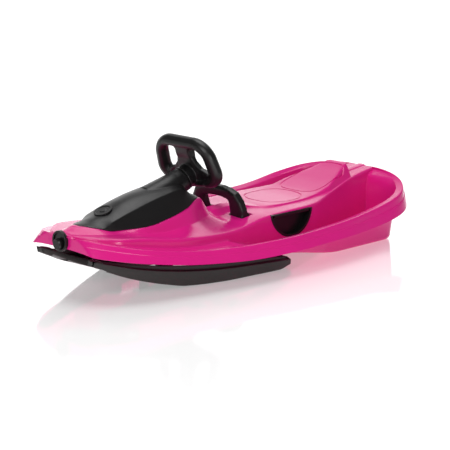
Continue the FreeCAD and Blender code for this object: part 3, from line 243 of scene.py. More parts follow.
def hull_corners(x):
    # Corners of the half section from the centre line to the lip, each with its rounding
    half, rim, deck = crest(x), rim_z(x), deck_z(x)
    lip = LIP_DEPTH + (LIP_DEPTH_TAIL - LIP_DEPTH) * step(x, LIP_DEEPEN_X, TAIL_X)
    flare = LIP_FLARE + (LIP_FLARE_NOSE - LIP_FLARE) * step(x, NOSE_TAPER_X, NOSE_TAPER_END_X)
    inner = max(half - RIM_FLAT, RIM_SHARE * half)
    shoulder = soft_min(deck_half(x), inner - SHOULDER_GAP, SHOULDER_EASE)
    shoulder = max(shoulder, min(SHOULDER_SHARE * half, SHOULDER_LEAST))
    wall_foot, wall_out, floor_z = trench(x, half, inner, shoulder)
    foot, foot_z, top, edge_z, centre_z = platform(x, shoulder)
    step_out, step_z = half + LIP_STEP_OUT * flare, rim - LIP_STEP_DOWN * lip
    return [
        (0.0, centre_z, 0),
        (top, edge_z, 7),
        (foot, foot_z, 7),
        (shoulder, deck, 9),
        (wall_foot, floor_z, 8),
        (wall_out, floor_z, 14),
        (inner, rim, 5),
        (half, rim + RIM_RISE * step(x, RIM_RISE_X, RIM_RISE_END_X), 5),
        (step_out, step_z, 1.2),
        (step_out + LIP_STEP_WIDE, step_z - LIP_STEP_DROP, 1.2),
        (half + flare, rim - lip, 0),
    ]


# Largest share of a side that the rounding of a corner takes, and least tangent of half its angle
CORNER_SHARE, CORNER_LEAST = 0.45, 0.05


def rounded(corners, arc=4, run=2, first_run=None):
    # Polyline with every inner corner drawn as a short curve, always with the same number of points
    points = [Vector(corners[0][:2])]
    between = run
    run = first_run or run
    for before, corner, after in zip(corners, corners[1:], corners[2:]):
        middle = Vector(corner[:2])
        back, ahead = Vector(before[:2]) - middle, Vector(after[:2]) - middle
        turn = back.angle(ahead, math.pi)
        cut = corner[2] / max(CORNER_LEAST, math.tan(turn / 2))
        start = middle + back * min(CORNER_SHARE, cut / max(back.length, 1e-6))
        end = middle + ahead * min(CORNER_SHARE, cut / max(ahead.length, 1e-6))
        last = points[-1]
        points += [last.lerp(start, k / (run + 1)) for k in range(1, run + 1)]
        for k in range(arc + 1):
            t = k / arc
            points.append(start * (1 - t) ** 2 + middle * 2 * t * (1 - t) + end * t * t)
        run = between
    last, end = points[-1], Vector(corners[-1][:2])
    points += [last.lerp(end, k / (run + 1)) for k in range(1, run + 2)]
    return points


def new_object(name, vertices, faces, body=None, scale=MM):
    # Mesh object in the scene, which moves with the body where one is named
    mesh = bpy.data.meshes.new(name)
    mesh.from_pydata([Vector(v) * scale for v in vertices], [], faces)
    mesh.validate()
    item = bpy.data.objects.new(name, mesh)
    bpy.context.scene.collection.objects.link(item)
    if body:
        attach(item, body)
    return item


def tidy(item, merge=0.02 * MM):
    # Merges points that coincide and turns the faces outward
    build = bmesh.new()
    build.from_mesh(item.data)
    bmesh.ops.remove_doubles(build, verts=build.verts, dist=merge)
    bmesh.ops.dissolve_degenerate(build, edges=build.edges, dist=merge / 4)
    bmesh.ops.recalc_face_normals(build, faces=build.faces)
    build.to_mesh(item.data)
    build.free()


def bake(item):
    # Applies the modifiers to the mesh
    shown = item.evaluated_get(bpy.context.evaluated_depsgraph_get())
    mesh = bpy.data.meshes.new_from_object(shown)
    item.modifiers.clear()
    item.data = mesh


def evened(item, voxel, rounds):
    # Remeshes to even faces and softens the edges
    even = item.modifiers.new("even", "REMESH")
    even.mode = "VOXEL"
    even.voxel_size = voxel * MM
    soft = item.modifiers.new("soft", "SMOOTH")
    soft.factor = 0.5
    soft.iterations = rounds
    bake(item)


def smooth(item, angle=40):
    # Smooth shading, with edges over the angle kept sharp
    for face in item.data.polygons:
        face.use_smooth = True
    item.data.set_sharp_from_angle(angle=math.radians(angle))


def combine(item, other, operation):
    # Boolean with another solid, which is used up
    change = item.modifiers.new("change", "BOOLEAN")
    change.operation = operation
    change.solver = "EXACT"
    change.object = other
    bake(item)
    bpy.data.objects.remove(other)


def cut_away(item, cutters):
    # Cuts solids out of a piece
    for cutter in cutters:
        combine(item, cutter, "DIFFERENCE")


def along_x(a, b, c):
    return c, a, b


def along_y(a, b, c):
    return a, c, b


def along_z(a, b, c):
    return a, b, c


def prism(name, outline, start, end, place):
    # Closed prism: outline in two axes, run along the third, set out by the place function
    count = len(outline)
    vertices = [place(a, b, start) for a, b in outline] + [place(a, b, end) for a, b in outline]
    faces = [tuple(range(count - 1, -1, -1)), tuple(range(count, 2 * count))]
    faces += [(k, (k + 1) % count, count + (k + 1) % count, count + k) for k in range(count)]
    item = new_object(name, vertices, faces)
    tidy(item)
    return item


def circle(radius, centre=(0.0, 0.0), count=64, start=0.0, sweep=2 * math.pi):
    # Points of a circle, or of an arc where the sweep is less than a full turn
    closed = sweep >= 2 * math.pi
    steps = count if closed else count + 1
    angles = [start + sweep * k / count for k in range(steps)]
    return [(centre[0] + radius * math.cos(a), centre[1] + radius * math.sin(a)) for a in angles]


def bow(reach, drop, top):
    # Outline that hangs as an arc below a straight top edge
    radius = (reach ** 2 + drop ** 2) / (2 * drop)
    rise = radius - drop
    start = math.asin(rise / radius)
    return circle(radius, (top[0], top[1] + rise), 48, math.pi + start, math.pi - 2 * start)


def loft_solid(name, table_rows, body=None, ring=False):
    # Closed solid from rows of points that each make a closed loop, with end caps unless the rows make a ring
    count, last = len(table_rows[0]), len(table_rows) - 1
    vertices = [point for row in table_rows for point in row]
    faces = [] if ring else [tuple(range(count)), tuple(range(last * count, (last + 1) * count))[::-1]]
    for r in range(last + 1 if ring else last):
        after = (r + 1) % (last + 1)
        for c in range(count):
            d = (c + 1) % count
            faces.append((r * count + c, r * count + d, after * count + d, after * count + c))
    item = new_object(name, vertices, faces, body)
    tidy(item)
    return item


def post(name, radius, centre, low, high):
    # Upright round post
    ring = circle(radius, centre, 40)
    return loft_solid(name, [[(a, b, z) for a, b in ring] for z in (low, high)])


def ring_solid(name, profile, centre, count=48):
    # Upright tube from radius and height pairs
    turns = circle(1.0, count=count)
    rows = [[(centre[0] + r * a, centre[1] + r * b, z) for r, z in profile] for a, b in turns]
    return loft_solid(name, rows, ring=True)


def hull_top(x, y):
    # Height of the deck, pod or seat at a point
    line = rounded(hull_corners(x))
    for near, far in zip(line, line[1:]):
        if near.x <= abs(y) <= far.x and far.x > near.x:
            return near.y + (far.y - near.y) * (abs(y) - near.x) / (far.x - near.x)
    return line[0].y


def web(name, start, end, thick, low):
    # Upright rib whose upper edge follows the moulding from below
    start, end = Vector(start), Vector(end)
    aside = (end - start).orthogonal().normalized() * thick / 2
    rows = []
    for k in range(WEB_STEPS + 1):
        spot = start.lerp(end, k / WEB_STEPS)
        roof = max(hull_top(*spot) - UNDER, low + 2)
        left, right = spot - aside, spot + aside
        rows.append([(*left, low), (*right, low), (*right, roof), (*left, roof)])
    return loft_solid(name, rows)


def super_oval(centre, long, wide, power, count=96, taper=0.0):
    # Rounded panel outline about a point on the centre line, narrower towards the rear by the taper
    points = []
    for a, b in circle(1.0, count=count):
        ahead, aside = (math.copysign(abs(k) ** (2 / power), k) for k in (a, b))
        points.append((centre + long * ahead, wide * aside * (1 + taper * ahead)))
    return points


def channel(name, outline, wide=4.4, deep=1.5, above=5.0):
    # Cutter for a groove that follows an outline on the seat
    rows = []
    for before, spot, after in zip(outline[-1:] + outline, outline, outline[1:] + outline[:1]):
        run = Vector(after) - Vector(before)
        aside = run.orthogonal().normalized() * wide / 2
        top = hull_top(*spot)
        left, right = Vector(spot) - aside, Vector(spot) + aside
        rows.append([(*left, top - deep), (*right, top - deep), (*right, top + above), (*left, top + above)])
    return loft_solid(name, rows, ring=True)


def joined(base, others):
    # Puts the other meshes into the base as loose shells
    build = bmesh.new()
    build.from_mesh(base.data)
    for other in others:
        build.from_mesh(other.data)
        bpy.data.objects.remove(other)
    build.to_mesh(base.data)
    build.free()


KINGPIN_X, KINGPIN_Y, STEER_X = 320.0, 106.0, 205.0
REEL_EARS = ((527.8, 18.9), (492.2, -78.9))
BRAKE_X, BRAKE_Z = 4.0, 130.0
COLUMN = Vector((158.0, 0.0, 248.0))
COLUMN_TURN = Matrix.Rotation(math.radians(20.0 - 90.0), 3, "Y")
ROPE_Z, ROPE_REAR_X, ROPE_FRONT_X, ROPE_RADIUS, ROPE_STEPS = 141.0, 546.0, 589.6, 2.5, 96
# Depth of a rib's upper edge below the moulding's surface, and the steps along a rib
UNDER, WEB_STEPS = 2.0, 12
SEAT_PANELS = (super_oval(-204.0, 73.0, 80.0, 2.5), super_oval(-378.0, 91.0, 72.0, 3.4, taper=0.12))


def mirrored(point, side):
    # Point in plan on the named side
    return point[0], side * point[1]


def on_column(a, b, c):
    # From the steering column's own axes to the frame
    return COLUMN + COLUMN_TURN @ Vector((a, b, c))


def from_column(point):
    # From the frame to the steering column's own axes
    return COLUMN_TURN.transposed() @ (point - COLUMN)


# Hull

STATION_STEP = 4
# Part of the bow's deck that is smoothed: start and full along the sled, end at the nose, margins to the rim
CALM_X, CALM_FULL_X, CALM_FALL_X, CALM_END_X = 490.0, 530.0, 576.0, 584.0
CALM_EDGE, CALM_INSIDE, CALM_ROUNDS = 4.0, 16.0, 12

nose_run = [NOSE_ROUND_X + (NOSE_X - NOSE_ROUND_X) * math.sin(math.radians(a)) for a in range(90, 0, -3)]
body_steps = int((NOSE_ROUND_X - TAIL_ROUND_X) / STATION_STEP)
body_run = [NOSE_ROUND_X - STATION_STEP * k for k in range(body_steps + 1)]
tail_run = [TAIL_ROUND_X + (TAIL_X - TAIL_ROUND_X) * math.sin(math.radians(a)) for a in range(2, 91, 2)]
stations = nose_run + body_run + tail_run


def hull_row(x):
    # Half section at a station, with the lip flared square to the rim's edge in plan
    half = crest(x)
    reach = 0.02
    slope = (crest(x + reach) - crest(x - reach)) / (2 * reach)
    span = math.hypot(slope, 1)
    ahead, aside = -slope / span, 1 / span
    row = []
    for across, up in rounded(hull_corners(x), run=3, first_run=6):
        flare = max(0.0, across - half)
        row.append((min(x + flare * ahead, NOSE_FACE_X), across - flare + flare * aside, up))
    return row


rows = [hull_row(x) for x in stations]
wide = 2 * len(rows[0]) - 1
vertices = []
for row in rows:
    vertices += [(x, -y, z) for x, y, z in reversed(row[1:])] + row
faces = [(r * wide + c, r * wide + c + 1, (r + 1) * wide + c + 1, (r + 1) * wide + c)
         for r in range(len(rows) - 1) for c in range(wide - 1)]
hull = new_object("hull_moulding", vertices, faces, "sled")
tidy(hull, merge=0.05 * MM)
calm = hull.vertex_groups.new(name="bow_top")
for vertex in hull.data.vertices:
    x, y = vertex.co.x / MM, abs(vertex.co.y / MM)
    weight = step(x, CALM_X, CALM_FULL_X) * step(y, crest(x) - CALM_EDGE, crest(x) - CALM_INSIDE)
    weight *= step(x, CALM_END_X, CALM_FALL_X)
    if weight > 0:
        calm.add([vertex.index], weight, "REPLACE")
ease = hull.modifiers.new("ease", "SMOOTH")
ease.factor = 0.5
ease.iterations = CALM_ROUNDS
ease.vertex_group = "bow_top"
skin = hull.modifiers.new("wall", "SOLIDIFY")
skin.thickness = HULL_WALL * MM
skin.offset = -1
bake(hull)

BARREL_INNER, BARREL_OUTER, BARREL_ROOM, BARREL_PLAY = 48.0, 100.0, 19.0, 2.0
SLOT_LONG, SLOT_SINK, SLOT_TOP, SLOT_PLAY = 28.0, 2.0, 200.0, 1.0
GRIP_X, GRIP_TOP, GRIP_REACH, GRIP_DROP, GRIP_IN, GRIP_OUT = -128.0, 138.5, 80.5, 69.0, 122.0, 162.0
OPENING_REAR_X, OPENING_FRONT_X, OPENING_STEP, OPENING_EDGE = 190, 465, 10, 24.0
OPENING_LOW, OPENING_HIGH = 130.0, 205.0
TOW_HOLE, TOW_HOLE_X, TOW_HOLE_END_X = 13.3, 550.0, 600.0
cutters = []
for side in (1, -1):
    start, end = side * (BARREL_INNER - BARREL_PLAY), side * (BARREL_OUTER + BARREL_PLAY)
    cutters.append(prism("barrel_room", circle(BARREL_ROOM, (BRAKE_X, BRAKE_Z)), start, end, along_y))
    rear, low = BRAKE_X - SLOT_LONG, BRAKE_Z - SLOT_SINK
    slot = [(rear, low), (BRAKE_X, low), (BRAKE_X, SLOT_TOP), (rear, SLOT_TOP)]
    cutters.append(prism("lever_slot", slot, start, side * (BARREL_OUTER + SLOT_PLAY), along_y))
    room = bow(GRIP_REACH, GRIP_DROP, (GRIP_X, GRIP_TOP))
    cutters.append(prism("grip_room", room, side * GRIP_IN, side * GRIP_OUT, along_y))
edge = [(x, pod_half(x) - OPENING_EDGE) for x in range(OPENING_REAR_X, OPENING_FRONT_X, OPENING_STEP)]
edge += [(x, -y) for x, y in reversed(edge)]
cutters.append(prism("console_opening", edge, OPENING_LOW, OPENING_HIGH, along_z))
cutters.append(prism("tow_hole", circle(TOW_HOLE, (0.0, ROPE_Z)), TOW_HOLE_X, TOW_HOLE_END_X, along_x))
cutters += [channel("panel_groove", panel) for panel in SEAT_PANELS]
cut_away(hull, cutters)
smooth(hull, angle=35)
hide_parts("hull")

# Ribs, bosses and pads below the moulding

RIB_THICK, RIB_FOOT_Z = 4.0, 106.0
BOSS_BORE, BOSS_RADIUS, BOSS_HEAD, BOSS_FOOT_Z, BOSS_HEAD_Z = 8.1, 20.0, 16.0, 62.0, 118.0
# Webs about the left kingpin boss: start and end in plan
BOSS_WEB_Z = 96.0
BOSS_WEBS = (
    ((274.0, 106.0), (303.0, 106.0)),
    ((337.0, 106.0), (366.0, 106.0)),
    ((320.0, 73.0), (320.0, 89.0)),
    ((320.0, 123.0), (320.0, 152.0)),
)
# Ribs that close the view below the bow's lip, on the left: start and end in plan, foot height
SKIRTS = (((292.0, 152.0), (376.0, 143.0), 75.0), ((376.0, 143.0), (436.0, 136.0), 84.0))
BRAKE_RIB_REACH, BRAKE_RIB_Y, BRAKE_RIB_THICK, BUSH_HOLE = 26.0, 36.0, 6.0, 9.1
PAD_REAR_X, PAD_FRONT_X, PAD_IN, PAD_OUT, PAD_LOW, PAD_HIGH = 330.0, 370.0, 59.0, 79.0, 150.0, 168.0
SCREW_X, SCREW_Y, SCREW_HOLE, SCREW_LOW, SCREW_HIGH = 350.0, 68.0, 3.0, 140.0, 180.0
STUD_RADIUS, STUD_FOOT_Z, STUD_LEAST_Z = 8.0, 150.0, 152.0
# Ribs across the seat: station and half length
CROSS_RIBS = ((-297.0, 92.0), (-444.0, 74.0))

ribs = []
for side in (1, -1):
    y = side * KINGPIN_Y
    roof = hull_top(KINGPIN_X, y) - UNDER
    boss = [(BOSS_BORE, BOSS_FOOT_Z), (BOSS_RADIUS, BOSS_FOOT_Z), (BOSS_RADIUS, roof), (BOSS_HEAD, roof),
            (BOSS_HEAD, BOSS_HEAD_Z), (BOSS_BORE, BOSS_HEAD_Z)]
    ribs.append(ring_solid("kingpin_boss", boss, (KINGPIN_X, y)))
    for start, end in BOSS_WEBS:
        ribs.append(web("kingpin_web", mirrored(start, side), mirrored(end, side), RIB_THICK, BOSS_WEB_Z))
    start, end = ((BRAKE_X + reach, side * BRAKE_RIB_Y) for reach in (-BRAKE_RIB_REACH, BRAKE_RIB_REACH))
    bearing = web("brake_rib", start, end, BRAKE_RIB_THICK, RIB_FOOT_Z)
    start, end = side * (BRAKE_RIB_Y - BRAKE_RIB_THICK), side * (BRAKE_RIB_Y + BRAKE_RIB_THICK)
    cut_away(bearing, [prism("bush_hole", circle(BUSH_HOLE, (BRAKE_X, BRAKE_Z)), start, end, along_y)])
    ribs.append(bearing)
    near, far = side * PAD_IN, side * PAD_OUT
    pad = [(PAD_REAR_X, near), (PAD_FRONT_X, near), (PAD_FRONT_X, far), (PAD_REAR_X, far)]
    pad = prism("cover_pad", pad, PAD_LOW, PAD_HIGH, along_z)
    hole = circle(SCREW_HOLE, mirrored((SCREW_X, SCREW_Y), side), 24)
    cut_away(pad, [prism("screw_hole", hole, SCREW_LOW, SCREW_HIGH, along_z)])
    ribs.append(pad)
    for start, end, foot in SKIRTS:
        ribs.append(web("bow_skirt", mirrored(start, side), mirrored(end, side), RIB_THICK, foot))
for x, y in REEL_EARS:
    roof = max(hull_top(x, y) - UNDER, STUD_LEAST_Z)
    ribs.append(post("reel_stud", STUD_RADIUS, (x, y), STUD_FOOT_Z, roof))
for x, reach in CROSS_RIBS:
    ribs.append(web("cross_rib", (x, -reach), (x, reach), RIB_THICK, RIB_FOOT_Z))
hull_ribs = new_object("hull_ribs", [], [], "sled")
joined(hull_ribs, ribs)
smooth(hull_ribs, angle=35)
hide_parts("hull")


# Console cover: outer form, joined with the shroud and softened, then hollowed

COVER_STEP, COVER_ROWS, COVER_VOXEL, COVER_ROUNDS = 4, 103, 1.7, 5
COVER_WALL, COVER_SINK, HOLLOW_X, HOLLOW_END_X, HOLLOW_STEP = 3.0, -24.0, 530, 126, -8
# Share of the wall by which the crest moves in and down, and steps across the dome
CREST_SHARE, DOME_STEPS = 0.7, 8
# Shroud about the column and the bore in it: radius and height on the column
SHROUD = ((46, -130), (35, -24), (35, -1.5), (33.5, 0))
SHROUD_BORE = ((42, -130), (31, -24), (31, 4))


def cover_loop(x, inset=0.0, drop=0.5):
    # Closed section of the cover, or of its hollow with an inset
    crest_half, crest_z = (at(x) - CREST_SHARE * inset for at in (cover_half, cover_crest_z))
    rise = cover_top(x) - inset - crest_z
    shares = [k / DOME_STEPS for k in range(DOME_STEPS)]
    corners = [(crest_half * k, crest_z + rise * (1 - k ** 2), 0.5) for k in shares]
    corners += [(crest_half, crest_z, 3), (pod_half(x) - inset, pod_z(x) + drop, 0)]
    half = rounded(corners, arc=2, run=2)
    return [(x, -a, b) for a, b in reversed(half[1:])] + [(x, a, b) for a, b in half]


def turned_on_column(name, profile):
    # Solid of revolution about the column's axis from radius and height pairs
    return loft_solid(name, [[on_column(a, b, h) for a, b in circle(r, count=72)] for r, h in profile])


cover_run = [COVER["tip"][0] - COVER_STEP * k for k in range(COVER_ROWS)]
cover = loft_solid("console_shell", [cover_loop(x) for x in cover_run], "sled")
combine(cover, turned_on_column("shroud", SHROUD), "UNION")
evened(cover, COVER_VOXEL, COVER_ROUNDS)
hollow_run = range(HOLLOW_X, HOLLOW_END_X, HOLLOW_STEP)
hollow = loft_solid("cover_hollow", [cover_loop(x, COVER_WALL, COVER_SINK) for x in hollow_run])
cut_away(cover, [hollow, turned_on_column("shroud_bore", SHROUD_BORE)])
smooth(cover, angle=50)
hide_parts("console_cover")


# Skis: trays with rounded edges, their posts and ribs

SKI_WALL, SKI_INNER_WALL, SKI_LEDGE, SKI_DRAFT = 4.0, 22.0, 13.0, 1.0
SKI_TILT, SKI_TILT_X, SKI_TILT_END_X = 7.0, 400.0, 520.0
SKI_STEP, SKI_ROWS = 6, 106
POST_FOOT, PEDESTAL_RADIUS, PEDESTAL_TOP, STEER_POST_RADIUS, STEER_POST_TOP = 3.0, 24.0, 60.3, 14.0, 75.5
# Ribs across a tray: station, thickness, depth below the tray's edges
SKI_RIBS = ((60, 3, 8), (120, 3, 8), (430, 3, 8), (500, 3, 8), (572, 4, 0), (-58, 4, 0))
SKI_RIB_INSET, SKI_RIB_LEDGE, SKI_RIB_SLOPE = 2.0, 15.0, 30.0
TOE_X, TOE_STEP, TOE_ROWS, TOE_ROUND, TOE_RISE = 548.0, 3.5, 9, 8.6, 3.0


def ski_lines(x):
    # Inner and outer edge, heights of the bottom, the side face, the inset wall and the low inner wall
    inner, outer, low, side_top, top = (at(x) for at in (ski_inner, ski_outer, ski_low, ski_side, ski_top))
    return inner, outer, low, side_top, top, min(side_top, low + SKI_INNER_WALL)


def ski_loop(x, side):
    # Closed section of a tray
    inner, outer, low, side_top, top, short = ski_lines(x)
    tilt = SKI_TILT * step(x, SKI_TILT_X, SKI_TILT_END_X)
    ledge = SKI_LEDGE + SKI_DRAFT
    corners = [
        (inner + SKI_WALL, low + tilt + SKI_WALL, 0),
        (inner + SKI_WALL, short, 1),
        (inner, short, 1.2),
        (inner, low + tilt, 6),
        (outer - SKI_DRAFT, low, 5),
        (outer, side_top, 2),
        (outer - SKI_LEDGE, side_top + SKI_DRAFT, 2),
        (outer - ledge, top, 1.5),
        (outer - (ledge + SKI_WALL), top, 1),
        (outer - (SKI_LEDGE + SKI_WALL), low + SKI_WALL, 4),
    ]
    return [(x, side * a, b) for a, b in rounded(corners + corners[:1], arc=3, run=1)[:-1]]


def ski_rib(x, thick, drop, side):
    # Rib across a tray
    inner, outer, low, side_top, top, short = ski_lines(x)
    near, far, foot = inner + SKI_RIB_INSET, outer - SKI_RIB_INSET, low + SKI_RIB_INSET
    bar = [(near, foot), (far, foot), (far, side_top - drop), (outer - SKI_RIB_LEDGE, top - drop),
           (inner + SKI_RIB_SLOPE, top - drop), (near, short - drop)]
    return prism("rib", [(side * a, b) for a, b in bar], x - thick / 2, x + thick / 2, along_x)


def toe_row(k, side):
    # Section of the rounded cap that closes a ski's tip
    x, full = TOE_X + TOE_STEP * k, math.sqrt(1 - (k / TOE_ROUND) ** 4)
    inner, outer, low, top = ski_inner(x), ski_outer(x), ski_low(x), ski_top(x) + TOE_RISE
    middle, mid_z = (inner + outer) / 2, (low + top) / 2
    oval = super_oval(0.0, full * (top - low) / 2, full * (outer - inner) / 2, 4.0, 32)
    return [(x, side * (middle + b), mid_z + a) for a, b in oval]


trays = []
for side, name in ((1, "left"), (-1, "right")):
    ski_run = [SKI["tip"][0] - SKI_STEP * k for k in range(SKI_ROWS)] + [SKI["end"][0]]
    tray = loft_solid(f"ski_tray_{name}", [ski_loop(x, side) for x in ski_run], f"front_{name}")
    trays.append(tray)
    y, foot = side * KINGPIN_Y, ski_low(KINGPIN_X) + POST_FOOT
    extras = [post("pedestal", PEDESTAL_RADIUS, (KINGPIN_X, y), foot, PEDESTAL_TOP),
              post("steer_post", STEER_POST_RADIUS, (STEER_X, y), POST_FOOT, STEER_POST_TOP)]
    extras += [ski_rib(x, thick, drop, side) for x, thick, drop in SKI_RIBS]
    extras.append(loft_solid("toe_cap", [toe_row(k, side) for k in range(TOE_ROWS)]))
    joined(tray, extras)
    smooth(tray)
    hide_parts(f"ski_{name}")


# Moulded handles: the frame's own solids with softened edges


def softened(node, name, body, voxel, rounds, extra, reshape=None):
    # Copy of a node joined with an extra solid, reshaped where asked, and softened
    item = bpy.data.objects.new(name, frame["nodes"][node].data.copy())
    bpy.context.scene.collection.objects.link(item)
    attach(item, body)
    joined(item, [extra])
    for vertex in item.data.vertices if reshape else ():
        vertex.co = reshape(vertex.co / MM) * MM
    evened(item, voxel, rounds)
    smooth(item, angle=60)
    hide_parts(node)
    return item


# Wheel's rim: distances from the axis where a change starts and is full, and the changes
WHEEL_START, WHEEL_FULL = 36.0, 62.0
WHEEL_SHORTER, WHEEL_LIFT, WHEEL_WIDER, WHEEL_NARROWING = 0.10, 3.0, 0.13, 0.0014
WHEEL_SWELL, SWELL_START, SWELL_FULL = 2.6, 52.0, 72.0
# Bell-shaped spoke in the wheel's plane: height above the column, half width
BELL = ((92, 24), (60, 26), (38, 34), (20, 48), (6, 68), (-8, 82), (-24, 60))
SPOKE_LOW, SPOKE_HIGH = 33.0, 47.0


def broader_rim(point):
    # Draws the wheel's rim wider, shorter and up a little, and leaves the hub as it is
    x, y, z = from_column(point)
    away = step(math.hypot(x, y), WHEEL_START, WHEEL_FULL)
    up = x * (1 - WHEEL_SHORTER * away) + WHEEL_LIFT * away
    return on_column(up, y * (1 + (WHEEL_WIDER - WHEEL_NARROWING * x) * away), z)


bell = list(BELL) + [(x, -y) for x, y in reversed(BELL)]
bell = prism("bell_spoke", bell, SPOKE_LOW, SPOKE_HIGH, on_column)
wheel = softened("steering_wheel", "wheel_moulding", "steering", voxel=1.6, rounds=8, extra=bell,
                 reshape=broader_rim)
swollen = []
for vertex in wheel.data.vertices:
    x, y, z = from_column(vertex.co / MM)
    share = step(math.hypot(x, y), SWELL_START, SWELL_FULL)
    swollen.append(vertex.co + vertex.normal * WHEEL_SWELL * MM * share)
for vertex, place in zip(wheel.data.vertices, swollen):
    vertex.co = place

# Arch of the brake: offset across, height, half width in the arch's plane, half depth
ARCH = (
    (74, 2, 26, 15),
    (75, 24, 26.5, 14.5),
    (73, 44, 24, 14),
    (66, 60, 20, 13.5),
    (50, 69.5, 17, 13),
    (26, 73, 15, 13),
    (0, 74, 14.5, 13),
)
ARCH_POWER = 3.5
PIVOT = Vector((BRAKE_X, 0.0, BRAKE_Z))
ARCH_LEAN = Matrix.Rotation(math.radians(14.0), 3, "Y")
stops = [Vector(stop) for stop in ARCH]
stops += [Vector((-stop[0], *stop[1:])) for stop in reversed(stops[:-1])]
arch_rows = []
for k, stop in enumerate(stops):
    run = (stops[min(k + 1, len(stops) - 1)] - stops[max(k - 1, 0)]).to_2d().normalized()
    aside = Vector((-run.y, run.x))
    row = []
    for a, b in super_oval(0.0, stop[3], stop[2], ARCH_POWER, 32):
        spot = Vector((stop[0], stop[1])) + aside * b
        row.append(PIVOT + ARCH_LEAN @ Vector((a, spot.x, spot.y)))
    arch_rows.append(row)
band = loft_solid("arch_band", arch_rows)
lever = softened("brake_lever", "brake_arch", "brake", voxel=1.5, rounds=6, extra=band)

# Medallion: the frame's own solid, set down on the domed cover and drawn a little larger
DISC_FROM, DISC_TO = Vector((444.0, 0.0, 214.3)), Vector((441.0, 0.0, 204.5))
DISC_TILT, DISC_SCALE = math.radians(22.0 - 12.8), 1.12
disc = bpy.data.objects.new("medallion_disc", frame["nodes"]["console_medallion"].data.copy())
bpy.context.scene.collection.objects.link(disc)
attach(disc, "sled")
disc_turn = Matrix.Rotation(DISC_TILT, 4, "Y") @ Matrix.Scale(DISC_SCALE, 4)
disc.data.transform(Matrix.Translation(DISC_TO * MM) @ disc_turn @ Matrix.Translation(-DISC_FROM * MM))
smooth(disc, angle=30)
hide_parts("console_medallion")


# Tow rope: a straight round cord from the reel to the nose

rope_long = ROPE_FRONT_X - ROPE_REAR_X
rope_run = [ROPE_REAR_X + rope_long * k / ROPE_STEPS for k in range(ROPE_STEPS + 1)]
rope_ring = circle(ROPE_RADIUS, (0.0, ROPE_Z), 16)
rope = loft_solid("rope_run", [[(x, a, b) for a, b in rope_ring] for x in rope_run])
smooth(rope)
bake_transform(rope)
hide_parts("tow_rope")


# Materials


def feed(tree, slot, value):
    # Links a shader's value to a socket, or sets a plain value on it
    if isinstance(value, Shader):
        tree.links.new(value.socket, slot)
    else:
        slot.default_value = value


class Shader:
    # A node socket that takes part in arithmetic
    def __init__(self, tree, socket):
        self.tree, self.socket = tree, socket

    def make(self, operation, first, second):
        node = self.tree.nodes.new("ShaderNodeMath")
        node.operation = operation
        for slot, value in zip(node.inputs, (first, second)):
            feed(self.tree, slot, value)
        return Shader(self.tree, node.outputs[0])

    def __radd__(self, other):
        return self.make("ADD", other, self)

    def __sub__(self, other):
        return self.make("SUBTRACT", self, other)

    def __mul__(self, other):
        return self.make("MULTIPLY", self, other)


class Finish:
    # A material with its nodes
    def __init__(self, name):
        self.material = bpy.data.materials.new(name)
        self.material.use_nodes = True
        self.tree = self.material.node_tree
        self.surface = self.tree.nodes["Principled BSDF"]

    def node(self, kind, settings=None, output=0, **sockets):
        # Makes any node, sets its properties and feeds its sockets
        node = self.tree.nodes.new(kind)
        for key, value in (settings or {}).items():
            setattr(node, key, value)
        for key, value in sockets.items():
            feed(self.tree, node.inputs[key.replace("_", " ")], value)
        return Shader(self.tree, node.outputs[output])

    def set(self, **sockets):
        # Feeds sockets of the surface
        for key, value in sockets.items():
            feed(self.tree, self.surface.inputs[key.replace("_", " ")], value)


CLOUDING, SCUFFING = 0.5, 0.12


def moulded(name, colour, dark, rough, grain_scale, grain_depth, shine=0.5):
    # Moulded plastic: faint clouds in the colour, scuffs in the shine and a fine grain
    finish = Finish(name)
    where = finish.node("ShaderNodeTexCoord", output=3)
    cloud = finish.node("ShaderNodeTexNoise", Vector=where, Scale=7.0, Detail=3.0)
    grain = finish.node("ShaderNodeTexNoise", Vector=where, Scale=grain_scale, Detail=2.0)
    scuff = finish.node("ShaderNodeTexNoise", Vector=where, Scale=60.0, Detail=4.0)
    tint = finish.node("ShaderNodeMix", {"data_type": "RGBA"}, output=2, Factor=cloud * CLOUDING)
    mix = tint.socket.node
    mix.inputs[6].default_value = colour
    mix.inputs[7].default_value = dark
    finish.set(Base_Color=tint, Roughness=rough + (scuff - 0.5) * SCUFFING)
    bump = finish.node("ShaderNodeBump", Strength=0.25, Distance=grain_depth * MM, Height=grain)
    finish.set(Normal=bump)
    finish.surface.inputs["Specular IOR Level"].default_value = shine
    return finish.material


PINK = moulded("pink_plastic", (0.66, 0.010, 0.205, 1), (0.60, 0.008, 0.175, 1), 0.2, 900.0, 0.12, 0.35)
# Weak pink glow painted into the plastic: painted light that lifts its shaded parts, in place of the real
# plastic's translucency
pink_painted_glow_inputs = PINK.node_tree.nodes["Principled BSDF"].inputs
pink_painted_glow_inputs["Emission Color"].default_value = (0.66, 0.02, 0.25, 1)
pink_painted_glow_inputs["Emission Strength"].default_value = 0.13
BLACK = moulded("black_plastic", (0.008, 0.0076, 0.008, 1), (0.006, 0.0057, 0.006, 1), 0.36, 1400.0,
                0.2, 0.36)
SKI_BLACK = moulded("ski_plastic", (0.024, 0.022, 0.021, 1), (0.017, 0.016, 0.015, 1), 0.36, 700.0, 0.12)
# Nylon drawn dim grey, darker than its own pale colour: painted shade, as its washers sit in the shadow under
# the hull
NYLON_PAINTED_SHADE = moulded("nylon", (0.18, 0.17, 0.16, 1), (0.15, 0.14, 0.13, 1), 0.45, 800.0, 0.1)
CORD = moulded("cord_fibre", (0.03, 0.03, 0.032, 1), (0.02, 0.02, 0.021, 1), 0.8, 1600.0, 0.4)


